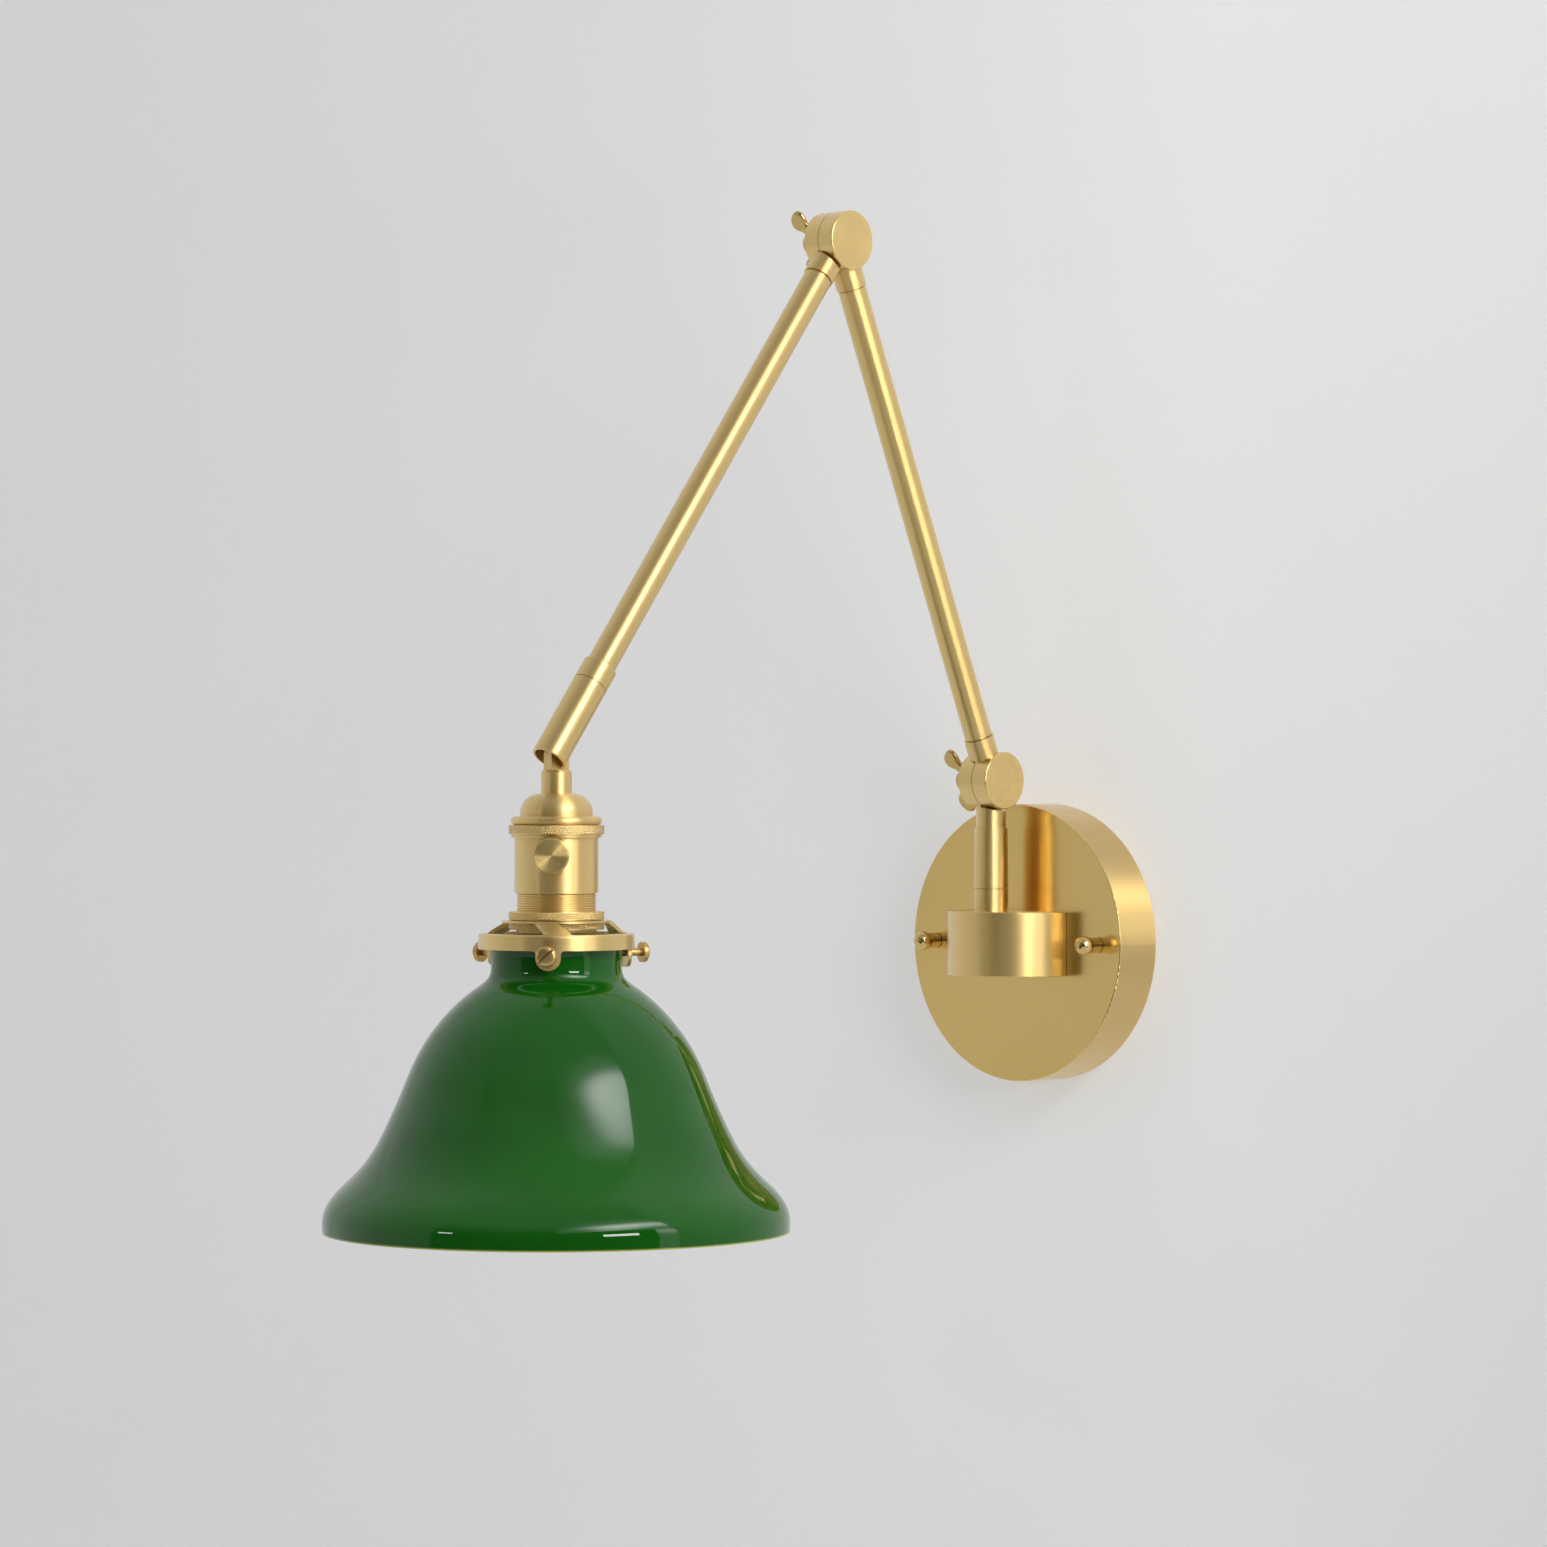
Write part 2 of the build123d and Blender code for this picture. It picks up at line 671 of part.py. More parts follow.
# Slotted sleeve: turns on the collar's spigot and carries the tilt pin
sleeve_top = sleeve_seam_height - body_gap
sleeve_inner_radius = sleeve_diameter / 2 - sleeve_wall
slot_width = tongue_thickness + 2 * tongue_side_gap
with BuildPart() as head_sleeve:
    with BuildSketch(sleeve_section):
        with BuildLine():
            Polyline(
                (collar_spigot_diameter / 2 + running_fit, sleeve_top),
                (sleeve_diameter / 2, sleeve_top),
                (sleeve_diameter / 2, -sleeve_end_drop + sleeve_edge),
                (sleeve_diameter / 2 - sleeve_edge, -sleeve_end_drop),
                (sleeve_inner_radius, -sleeve_end_drop),
                (sleeve_inner_radius, sleeve_top - sleeve_bearing_length),
                (collar_spigot_diameter / 2 + running_fit, sleeve_top - sleeve_bearing_length),
                close=True,
            )
        make_face()
    revolve(axis=sleeve_axis)
    with BuildSketch(sleeve_section):
        with Locations((0, slot_rise)):
            Rectangle(slot_width, slot_rise + 2 * sleeve_end_drop, align=(Align.CENTER, Align.MAX))
    extrude(amount=-sleeve_diameter, mode=Mode.SUBTRACT)
    with BuildSketch(Plane(origin=head_pivot, x_dir=(0, 1, 0), z_dir=(1, 0, 0))):
        Circle(tilt_pin_diameter / 2)
    extrude(amount=sleeve_diameter / 2 - tilt_pin_cover, both=True, mode=Mode.SUBTRACT)
save(head_sleeve.part, "head_sleeve")

with BuildPart() as tilt_pin:
    with BuildSketch(Plane(origin=head_pivot, x_dir=(0, 1, 0), z_dir=(1, 0, 0))):
        Circle(tilt_pin_diameter / 2)
    extrude(amount=sleeve_diameter / 2 - tilt_pin_cover, both=True)
save(tilt_pin.part, "tilt_pin")

# Tongue: a flat rounded blade on the pin, standing on the head's round neck
with BuildPart() as head_tongue:
    with BuildSketch(head_section):
        with BuildLine():
            Polyline(
                (0, neck_top),
                (head_neck_diameter / 2 - head_neck_edge, neck_top),
                (head_neck_diameter / 2, neck_top - head_neck_edge),
                (head_neck_diameter / 2, cap_top),
                (head_spigot_diameter / 2, cap_top),
                (head_spigot_diameter / 2, cap_top - head_spigot_length),
                (0, cap_top - head_spigot_length),
                close=True,
            )
        make_face()
    revolve(axis=head_axis)
    with BuildSketch(Plane(origin=head_pivot, x_dir=(0, 1, 0), z_dir=(1, 0, 0))):
        Circle(tongue_width / 2)
        Rectangle(tongue_width, neck_drop, align=(Align.CENTER, Align.MAX))
    extrude(amount=tongue_thickness / 2, both=True)
    with BuildSketch(Plane(origin=head_pivot, x_dir=(0, 1, 0), z_dir=(1, 0, 0))):
        Circle(tilt_pin_diameter / 2 + running_fit)
    extrude(amount=tongue_thickness, both=True, mode=Mode.SUBTRACT)
save(head_tongue.part, "head_tongue")

# Socket cap: a domed brass cup on the neck's threaded spigot
dome_start = (head_neck_diameter / 2, cap_top)
dome_end = (dome_foot_diameter / 2, shoulder_top)
dome_span = Vector(*dome_end) - Vector(*dome_start)
dome_out = Vector(-dome_span.Y, dome_span.X).normalized()
dome_middle = (Vector(*dome_start) + Vector(*dome_end)) * 0.5 + dome_out * dome_bulge
shoulder_radius = shoulder_diameter / 2
with BuildPart() as socket_cap:
    with BuildSketch(head_section):
        with BuildLine():
            Line((head_spigot_diameter / 2, cap_top), dome_start)
            ThreePointArc(dome_start, (dome_middle.X, dome_middle.Y), dome_end)
            Line(dome_end, (shoulder_radius - shoulder_edge, shoulder_top))
            RadiusArc(
                (shoulder_radius - shoulder_edge, shoulder_top),
                (shoulder_radius, shoulder_top - shoulder_edge),
                shoulder_edge,
            )
            Polyline(
                (shoulder_radius, shoulder_top - shoulder_edge),
                (shoulder_radius, cap_ring_top),
                (shoulder_radius - cap_wall, cap_ring_top),
                (shoulder_radius - cap_wall, shoulder_top - cap_wall),
                (dome_foot_diameter / 2 - cap_wall, shoulder_top - cap_wall),
                (dome_foot_diameter / 2 - cap_wall, shoulder_top),
            )
            ThreePointArc(
                (dome_foot_diameter / 2 - cap_wall, shoulder_top),
                (dome_middle.X - dome_out.X * cap_wall, dome_middle.Y - dome_out.Y * cap_wall),
                (head_neck_diameter / 2, cap_top - cap_wall),
            )
            Polyline(
                (head_neck_diameter / 2, cap_top - cap_wall),
                (head_spigot_diameter / 2, cap_top - cap_wall),
                (head_spigot_diameter / 2, cap_top),
            )
        make_face()
    revolve(axis=head_axis)
save(socket_cap.part, "socket_cap")

with BuildPart() as neck_nut:
    with BuildSketch(Plane.XY.offset(cap_top - cap_wall)):
        with Locations((0, head_y)):
            RegularPolygon(neck_nut_width / 2, 6, major_radius=False)
            Circle(head_spigot_diameter / 2, mode=Mode.SUBTRACT)
    extrude(amount=-neck_nut_height)
save(neck_nut.part, "neck_nut")

# Cap ring: the knurled band and plain lip that join the cap to the shell
with BuildPart() as cap_ring:
    with BuildSketch(head_section):
        with BuildLine():
            Polyline(
                (shell_diameter / 2, cap_ring_top),
                (cap_ring_diameter / 2 - cap_ring_edge, cap_ring_top),
                (cap_ring_diameter / 2, cap_ring_top - cap_ring_edge),
                (cap_ring_diameter / 2, cap_ring_foot + cap_ring_edge),
                (cap_ring_diameter / 2 - cap_ring_edge, cap_ring_foot),
                (cap_lip_diameter / 2, cap_ring_foot),
                (cap_lip_diameter / 2, shell_top),
                (shell_diameter / 2, shell_top),
                close=True,
            )
        make_face()
    revolve(axis=head_axis)
save(cap_ring.part, "cap_ring")

# Socket shell: plain above, ring-grooved as a thread below, with a side hole for the switch
shell_inner_top = shell_top + shell_engagement
thread_crest = thread_diameter / 2
thread_turns = int(thread_length / thread_pitch)
thread_points = [(thread_crest, thread_top)]
for turn in range(thread_turns):
    groove_top = thread_top - (turn + 0.25) * thread_pitch
    thread_points.append((thread_crest, groove_top))
    thread_points.append((thread_crest - thread_depth, groove_top - thread_pitch / 4))
    thread_points.append((thread_crest, groove_top - thread_pitch / 2))
with BuildPart() as socket_shell:
    with BuildSketch(head_section):
        with BuildLine():
            Polyline(
                (shell_inner_radius, shell_inner_top),
                (shell_diameter / 2, shell_inner_top),
                (shell_diameter / 2, thread_top),
                *thread_points,
                (thread_crest, shell_foot),
                (shell_inner_radius, shell_foot),
                close=True,
            )
        make_face()
    revolve(axis=head_axis)
    with BuildSketch(radial_plane(switch_azimuth, switch_z)):
        Circle(switch_bushing_diameter / 2)
    extrude(amount=shell_diameter, mode=Mode.SUBTRACT)
save(socket_shell.part, "socket_shell")

liner_radius = shell_inner_radius - seat_gap
with BuildPart() as shell_liner:
    with BuildSketch(Plane.XY.offset(shell_foot + liner_end_gap)):
        with Locations((0, head_y)):
            Circle(liner_radius)
            Circle(liner_radius - liner_thickness, mode=Mode.SUBTRACT)
    extrude(amount=shell_top - shell_foot - liner_end_gap)
    with BuildSketch(radial_plane(switch_azimuth, switch_z)):
        Circle(switch_bushing_diameter / 2)
    extrude(amount=shell_diameter, mode=Mode.SUBTRACT)
save(shell_liner.part, "shell_liner")

# Socket core: the insulating block that holds the switch, the screw shell and the contact
core_radius = liner_radius - liner_thickness - seat_gap
core_top = shell_top - core_top_gap
core_foot = core_top - core_height
with BuildPart() as socket_core:
    with BuildSketch(Plane.XY.offset(core_foot)):
        with Locations((0, head_y)):
            Circle(core_radius)
    extrude(amount=core_height)
    with BuildSketch(radial_plane(switch_azimuth, switch_z).offset(core_radius - switch_shaft_depth)):
        Circle(switch_shaft_diameter / 2 + running_fit)
    extrude(amount=switch_shaft_depth, mode=Mode.SUBTRACT)
save(socket_core.part, "socket_core")

# Screw shell: the thin threaded cup for the lamp base
screw_shell_radius = screw_shell_diameter / 2
screw_turns = int(screw_shell_length / screw_thread_pitch)
screw_line = []
for step in range(2 * screw_turns):
    step_radius = screw_shell_radius - screw_thread_depth * (step % 2)
    screw_line.append((step_radius, core_foot - (step + 0.5) * screw_thread_pitch / 2))
with BuildPart() as screw_shell:
    with BuildSketch(head_section):
        with BuildLine():
            Polyline(
                (screw_shell_radius, core_foot),
                *screw_line,
                (screw_shell_radius, core_foot - screw_shell_length),
                (screw_shell_radius - screw_shell_wall, core_foot - screw_shell_length),
                *[(radius - screw_shell_wall, height) for radius, height in reversed(screw_line)],
                (screw_shell_radius - screw_shell_wall, core_foot),
                close=True,
            )
        make_face()
    revolve(axis=head_axis)
save(screw_shell.part, "screw_shell")

with BuildPart() as centre_contact:
    with BuildSketch(Plane.XY.offset(core_foot)):
        with Locations((0, head_y)):
            Circle(contact_diameter / 2)
    extrude(amount=-contact_height)
save(centre_contact.part, "centre_contact")

# Turn switch: a fixed bushing in the shell, with the shaft and knob turning in it
bushing_foot = core_radius + seat_gap
bushing_reach = shell_diameter / 2 + switch_bushing_reach
knob_face = shell_diameter / 2 + knob_reach
with BuildPart() as switch_bushing:
    with BuildSketch(radial_plane(switch_azimuth, switch_z).offset(bushing_foot)):
        Circle(switch_bushing_diameter / 2)
        Circle(switch_shaft_diameter / 2 + running_fit, mode=Mode.SUBTRACT)
    extrude(amount=bushing_reach - bushing_foot)
save(switch_bushing.part, "switch_bushing")

shaft_start = core_radius - switch_shaft_depth + body_gap
with BuildPart() as switch_shaft:
    with BuildSketch(radial_plane(switch_azimuth, switch_z).offset(shaft_start)):
        Circle(switch_shaft_diameter / 2)
    extrude(amount=knob_face - knob_thickness / 2 - shaft_start)
save(switch_shaft.part, "switch_shaft")

with BuildPart() as switch_knob:
    with BuildSketch(radial_plane(switch_azimuth, switch_z).offset(knob_face - knob_thickness)):
        Circle(knob_diameter / 2)
    extrude(amount=knob_thickness)
    chamfer(switch_knob.edges().filter_by(GeomType.CIRCLE), knob_edge)
    with BuildSketch(radial_plane(switch_azimuth, switch_z).offset(knob_face - knob_thickness)):
        Circle(switch_shaft_diameter / 2)
    extrude(amount=knob_thickness / 2, mode=Mode.SUBTRACT)
save(switch_knob.part, "switch_knob")

# Shade rings: two knurled rings on the shell's thread, with the gallery's plate between them
ring_radius = shade_ring_diameter / 2
ring_bore = thread_crest + running_fit
ring_sizes = (
    ("upper_shade_ring", plate_top + body_gap, upper_ring_height),
    ("lower_shade_ring", plate_foot - body_gap - lower_ring_height, lower_ring_height),
)
for name, foot, height in ring_sizes:
    with BuildPart() as shade_ring:
        with BuildSketch(Plane.XY.offset(foot)):
            with Locations((0, head_y)):
                Circle(ring_radius)
        extrude(amount=height)
        chamfer(shade_ring.edges().filter_by(GeomType.CIRCLE), shade_ring_edge)
        with BuildSketch(Plane.XY.offset(foot)):
            with Locations((0, head_y)):
                Circle(ring_bore)
        extrude(amount=height, mode=Mode.SUBTRACT)
    save(shade_ring.part, name)

# Gallery: a plate between the rings, three swirled spokes and a band with three lugs
gallery_radius = gallery_diameter / 2
plate_radius = gallery_plate_diameter / 2
flange_radius = gallery_radius - gallery_flange_width


def level_point(radius, azimuth, across=0.0):
    """Point in plan at a radius and azimuth from the head's axis, shifted sideways."""
    out = compass(azimuth)
    return (out.X * radius - out.Y * across, head_y + out.Y * radius + out.X * across)


with BuildPart() as spokes:
    with BuildSketch(head_section):
        with BuildLine():
            Polyline(
                (plate_radius - spoke_thickness, plate_top),
                (plate_radius, plate_top),
                (flange_radius + spoke_thickness, band_top),
                (flange_radius + spoke_thickness, band_top - spoke_thickness),
                (flange_radius, band_top - spoke_thickness),
                (plate_radius - spoke_thickness, plate_top - spoke_thickness),
                close=True,
            )
        make_face()
    revolve(axis=head_axis)
    with BuildSketch(Plane.XY.offset(band_foot)):
        for spoke in range(spoke_count):
            middle = lug_azimuth + spoke * 360 / spoke_count
            top_azimuth = middle - spoke_swirl / 2
            foot_azimuth = middle + spoke_swirl / 2
            with BuildLine():
                Polyline(
                    level_point(plate_radius - 2 * spoke_thickness, top_azimuth, -spoke_top_width / 2),
                    level_point(plate_radius - 2 * spoke_thickness, top_azimuth, spoke_top_width / 2),
                    level_point(gallery_radius, foot_azimuth, spoke_foot_width / 2),
                    level_point(gallery_radius, foot_azimuth, -spoke_foot_width / 2),
                    close=True,
                )
            make_face()
    extrude(amount=plate_top - band_foot, mode=Mode.INTERSECT)

lug_azimuths = [lug_azimuth + spoke * 360 / spoke_count for spoke in range(spoke_count)]
lug_half = lug_width / 2
lugs = []
for azimuth in lug_azimuths:
    with BuildPart() as lug:
        with BuildSketch(Plane.XY.offset(band_foot - lug_drop)):
            with Locations((0, head_y)):
                Circle(gallery_radius)
                Circle(gallery_radius - gallery_wall, mode=Mode.SUBTRACT)
        extrude(amount=lug_drop + gallery_wall)
        with BuildSketch(radial_plane(azimuth, band_foot)):
            with BuildLine():
                CenterArc((-lug_half - lug_corner, -lug_corner), lug_corner, 90, -90)
                Line((-lug_half, -lug_corner), (-lug_half, lug_half - lug_drop))
                CenterArc((0, lug_half - lug_drop), lug_half, 180, 180)
                Line((lug_half, lug_half - lug_drop), (lug_half, -lug_corner))
                CenterArc((lug_half + lug_corner, -lug_corner), lug_corner, 180, -90)
                Polyline(
                    (lug_half + lug_corner, 0),
                    (lug_half + lug_corner, gallery_wall),
                    (-lug_half - lug_corner, gallery_wall),
                    (-lug_half - lug_corner, 0),
                )
            make_face()
        extrude(amount=gallery_diameter, mode=Mode.INTERSECT)
        with BuildSketch(radial_plane(azimuth, gallery_screw_z)):
            Circle(gallery_screw_diameter / 2 + running_fit)
        extrude(amount=gallery_diameter, mode=Mode.SUBTRACT)
    lugs.append(lug.part)

with BuildPart() as gallery:
    with BuildSketch(head_section):
        with BuildLine():
            Polyline(
                (gallery_radius - gallery_wall, band_foot),
                (gallery_radius, band_foot),
                (gallery_radius, band_top - gallery_top_edge),
            )
            RadiusArc(
                (gallery_radius, band_top - gallery_top_edge),
                (gallery_radius - gallery_top_edge, band_top),
                -gallery_top_edge,
            )
            Polyline(
                (gallery_radius - gallery_top_edge, band_top),
                (flange_radius, band_top),
                (flange_radius, band_top - gallery_flange_thickness),
                (gallery_radius - gallery_wall, band_top - gallery_flange_thickness),
                (gallery_radius - gallery_wall, band_foot),
            )
        make_face()
    revolve(axis=head_axis)
    with BuildSketch(Plane.XY.offset(plate_foot)):
        with Locations((0, head_y)):
            Circle(plate_radius)
            Circle(thread_crest + seat_gap, mode=Mode.SUBTRACT)
    extrude(amount=gallery_plate_thickness)
    add(spokes.part)
    for lug in lugs:
        add(lug)
save(gallery.part, "gallery")

# Thumb screws: one through each lug, its rounded tip just short of the glass
screw_radius = gallery_screw_diameter / 2
screw_head_radius = gallery_screw_head_diameter / 2
tip_reach = fitter_diameter / 2 + body_gap
for name, azimuth in zip(("gallery_screw_front", "gallery_screw_right", "gallery_screw_left"), lug_azimuths):
    out = compass(azimuth)
    origin = Vector(0, head_y, gallery_screw_z)
    screw_section = Plane(origin=origin, x_dir=out, z_dir=out.cross(upward))
    head_foot = gallery_screw_reach - gallery_screw_head_thickness
    with BuildPart() as gallery_screw:
        with BuildSketch(screw_section):
            with BuildLine():
                CenterArc((tip_reach + screw_radius, 0), screw_radius, 180, -90)
                Polyline(
                    (tip_reach + screw_radius, screw_radius),
                    (head_foot, screw_radius),
                    (head_foot, screw_head_radius),
                    (gallery_screw_reach, screw_head_radius),
                )
                head_tip = (gallery_screw_reach + gallery_screw_dome, 0)
                Bezier(
                    (gallery_screw_reach, screw_head_radius),
                    (gallery_screw_reach + gallery_screw_dome, screw_head_radius),
                    (gallery_screw_reach + gallery_screw_dome, screw_head_radius / 2),
                    head_tip,
                )
                Line(head_tip, (tip_reach, 0))
            make_face()
        revolve(axis=Axis(origin, out))
        slot_plane = Plane(origin=origin + out * head_tip[0], x_dir=upward, z_dir=out)
        with BuildSketch(slot_plane.rotated((0, 0, gallery_screw_slot_lean))):
            Rectangle(gallery_screw_head_diameter, gallery_screw_slot_width)
        extrude(amount=-gallery_screw_slot_depth, mode=Mode.SUBTRACT)
    save(gallery_screw.part, name)

# Glass shade: a bell of cased glass, a coloured outer layer over a thin white lining
bell_start = (fitter_diameter / 2, glass_top - fitter_length)
bell_points = [(radius, glass_top - depth) for radius, depth in bell_outline]
bell_ends = {"tangents": [(0, -1), (bell_foot_slope, -1)], "tangent_scalars": bell_end_pulls}
bell_line = Spline(bell_start, *bell_points, **bell_ends)
bell_steps = 2 * len(bell_outline)


def bell_inner(depth):
    """Bell line moved inwards through the glass by a depth, as a list of points."""
    points = []
    for step in range(1, bell_steps + 1):
        place = bell_line @ (step / bell_steps)
        way = bell_line % (step / bell_steps)
        points.append((place.X + way.Y * depth, place.Y - way.X * depth))
    return points


def glass_layer(outer_depth, inner_depth):
    """One layer of the glass, between two depths measured from the shade's outer surface."""
    radii = (fitter_lip_diameter / 2, fitter_diameter / 2)
    lip_foot = glass_top - fitter_lip_height
    neck_start = lip_foot - fitter_lip_slope
    with BuildPart() as layer:
        with BuildSketch(head_section):
            with BuildLine():
                ends = []
                for depth in (outer_depth, inner_depth):
                    lip_radius, neck_radius = (radius - depth for radius in radii)
                    foot = (neck_radius, glass_top - fitter_length)
                    Polyline((lip_radius, glass_top), (lip_radius, lip_foot), (neck_radius, neck_start), foot)
                    line = Spline(foot, *bell_inner(depth), **bell_ends)
                    ends.append(line @ 1)
                Line(*ends)
                Line((radii[0] - outer_depth, glass_top), (radii[0] - inner_depth, glass_top))
            make_face()
        revolve(axis=head_axis)
    return layer.part


save(glass_layer(0, glass_thickness), "shade_glass")
save(glass_layer(glass_thickness, glass_thickness + lining_thickness), "shade_lining")

# Supply leads: down from the base ferrule, back through the canopy's face and down behind it
supply_end_y = plate_y + supply_lead_inset
for side, name in ((-1, "supply_lead_left"), (1, "supply_lead_right")):
    lead_x = side * lead_spacing / 2
    lead_top = base_ferrule_top + swivel_spigot_length
    with BuildPart() as supply_lead:
        with BuildLine():
            lead_path = FilletPolyline(
                (lead_x, stem_y, lead_top),
                (lead_x, stem_y, 0),
                (lead_x, supply_end_y, 0),
                (lead_x, supply_end_y, -supply_lead_drop),
                radius=lead_bend,
            )
        with BuildSketch(Plane(origin=lead_path @ 0, z_dir=lead_path % 0)):
            Circle(lead_diameter / 2)
        sweep()
    save(supply_lead.part, name)

# Ground lead: from the ground screw's shank down and out behind the canopy's face
with BuildPart() as ground_lead:
    with BuildLine():
        ground_path = FilletPolyline(
            (-ground_screw_offset, -ground_lead_rise - crossbar_thickness / 2, -ground_screw_diameter / 2),
            (-ground_screw_offset, -ground_lead_rise - crossbar_thickness / 2, -ground_lead_drop),
            (-ground_screw_offset, -ground_lead_rise - ground_lead_reach, -ground_lead_drop),
            radius=lead_bend,
        )
    with BuildSketch(Plane(origin=ground_path @ 0, z_dir=ground_path % 0)):
        Circle(lead_diameter / 2)
    sweep()
save(ground_lead.part, "ground_lead")
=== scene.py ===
import bmesh
import bpy
import json
from math import cos, pi, radians, sin, sqrt
from mathutils import Matrix, Vector


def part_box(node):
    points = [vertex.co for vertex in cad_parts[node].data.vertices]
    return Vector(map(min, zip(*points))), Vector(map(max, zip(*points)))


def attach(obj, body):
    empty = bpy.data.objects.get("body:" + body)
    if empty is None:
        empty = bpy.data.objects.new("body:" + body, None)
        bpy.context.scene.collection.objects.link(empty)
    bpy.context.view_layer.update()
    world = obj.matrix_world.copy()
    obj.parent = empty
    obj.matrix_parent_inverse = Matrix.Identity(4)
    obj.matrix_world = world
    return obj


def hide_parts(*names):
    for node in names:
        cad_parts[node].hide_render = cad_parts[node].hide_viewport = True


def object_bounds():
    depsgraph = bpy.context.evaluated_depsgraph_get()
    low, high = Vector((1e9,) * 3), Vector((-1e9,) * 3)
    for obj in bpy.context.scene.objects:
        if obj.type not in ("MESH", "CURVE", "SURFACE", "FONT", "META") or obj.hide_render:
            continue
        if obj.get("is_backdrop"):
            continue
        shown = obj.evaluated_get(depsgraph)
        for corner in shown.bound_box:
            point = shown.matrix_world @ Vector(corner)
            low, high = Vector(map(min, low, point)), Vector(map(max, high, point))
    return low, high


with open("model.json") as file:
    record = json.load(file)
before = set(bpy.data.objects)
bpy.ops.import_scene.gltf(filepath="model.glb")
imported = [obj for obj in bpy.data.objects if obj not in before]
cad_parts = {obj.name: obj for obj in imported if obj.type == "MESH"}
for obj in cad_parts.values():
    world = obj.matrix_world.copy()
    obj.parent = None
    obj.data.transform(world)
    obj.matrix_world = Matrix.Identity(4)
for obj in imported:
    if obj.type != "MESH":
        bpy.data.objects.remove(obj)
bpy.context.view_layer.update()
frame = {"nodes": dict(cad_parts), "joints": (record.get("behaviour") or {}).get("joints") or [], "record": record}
nodes = frame["nodes"]
scene = bpy.context.scene
MM = 0.001

# Camera: level, at the photograph's viewing angle
camera = bpy.data.objects.new("camera", bpy.data.cameras.new("camera"))
scene.collection.objects.link(camera)
camera.data.sensor_width = 36.0
camera.data.lens = 121.0
camera.location = (1.6356, -1.8392, 0.0794)
camera.rotation_euler = (radians(90), 0, radians(44.7))
camera.data.clip_start = 0.05
camera.data.clip_end = 60
scene.camera = camera
scene.view_settings.view_transform = "Standard"

# Joints and axes, read from the frame
joint_at = {j["name"]: Vector(j["pos_m"]) for j in frame["joints"] if "pos_m" in j}
wall_pivot = joint_at["wall_knuckle_tilt"]
elbow_pivot = joint_at["elbow_tilt"]
head_pivot = joint_at["head_tilt"]
lower_way = (elbow_pivot - wall_pivot).normalized()
upper_way = (elbow_pivot - head_pivot).normalized()
X_WAY, Y_WAY, Z_WAY = Vector((1, 0, 0)), Vector((0, 1, 0)), Vector((0, 0, 1))
HEAD_Y = head_pivot.y
head_axis = Vector((0, HEAD_Y, 0))
KNOB_AZIMUTH = radians(42)
knob_way = Vector((sin(KNOB_AZIMUTH), -cos(KNOB_AZIMUTH), 0))


def middle_of(node):
    low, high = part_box(node)
    return (low + high) / 2


# Materials
class Nodes:
    """A short way to build a node tree."""

    def __init__(self, tree):
        self.tree = tree

    def add(self, kind, **settings):
        node = self.tree.nodes.new(kind)
        for key, value in settings.items():
            setattr(node, key, value)
        return node

    def join(self, out, into):
        self.tree.links.new(out, into)

    def feed(self, node, slot, value):
        """Link an output to a socket, or set the socket's own value."""
        if isinstance(value, bpy.types.NodeSocket):
            self.join(value, node.inputs[slot])
        else:
            node.inputs[slot].default_value = value

    def math(self, operation, a, b=0.0, c=0.0):
        node = self.add("ShaderNodeMath", operation=operation)
        for slot, value in enumerate((a, b, c)):
            self.feed(node, slot, value)
        return node.outputs[0]

    def vector(self, operation, a, b=(0, 0, 0)):
        node = self.add("ShaderNodeVectorMath", operation=operation)
        self.feed(node, 0, a)
        if operation == "SCALE":
            self.feed(node, "Scale", b)
        elif operation != "LENGTH":
            self.feed(node, 1, b)
        return node.outputs["Value" if operation in ("LENGTH", "DOT_PRODUCT") else "Vector"]

    def noise(self, vector, scale, detail=3.0, roughness=0.5):
        node = self.add("ShaderNodeTexNoise")
        self.feed(node, "Scale", scale)
        self.feed(node, "Detail", detail)
        self.feed(node, "Roughness", roughness)
        self.join(vector, node.inputs["Vector"])
        return node.outputs["Fac"]

    def spread(self, value, low, high, start=0.3, end=0.7):
        """Map a value from one range onto another."""
        node = self.add("ShaderNodeMapRange")
        limits = {"From Min": start, "From Max": end, "To Min": low, "To Max": high}
        for slot, number in limits.items():
            node.inputs[slot].default_value = number
        self.join(value, node.inputs["Value"])
        return node.outputs["Result"]

    def ramp(self, value, stops):
        node = self.add("ShaderNodeValToRGB")
        ends = node.color_ramp.elements
        while len(ends) < len(stops):
            ends.new(0.5)
        for element, (place, colour) in zip(ends, stops):
            element.position = place
            element.color = (*colour, 1)
        self.join(value, node.inputs["Fac"])
        return node.outputs["Color"]


class Surface(Nodes):
    """A new material, with its node tree and its Principled shader."""

    def __init__(self, name):
        self.material = bpy.data.materials.new(name)
        self.material.use_nodes = True
        super().__init__(self.material.node_tree)
        self.shader = self.tree.nodes["Principled BSDF"]

    def bump(self, height, strength, distance):
        node = self.add("ShaderNodeBump")
        node.inputs["Strength"].default_value = strength
        node.inputs["Distance"].default_value = distance
        self.join(height, node.inputs["Height"])
        self.join(node.outputs["Normal"], self.shader.inputs["Normal"])


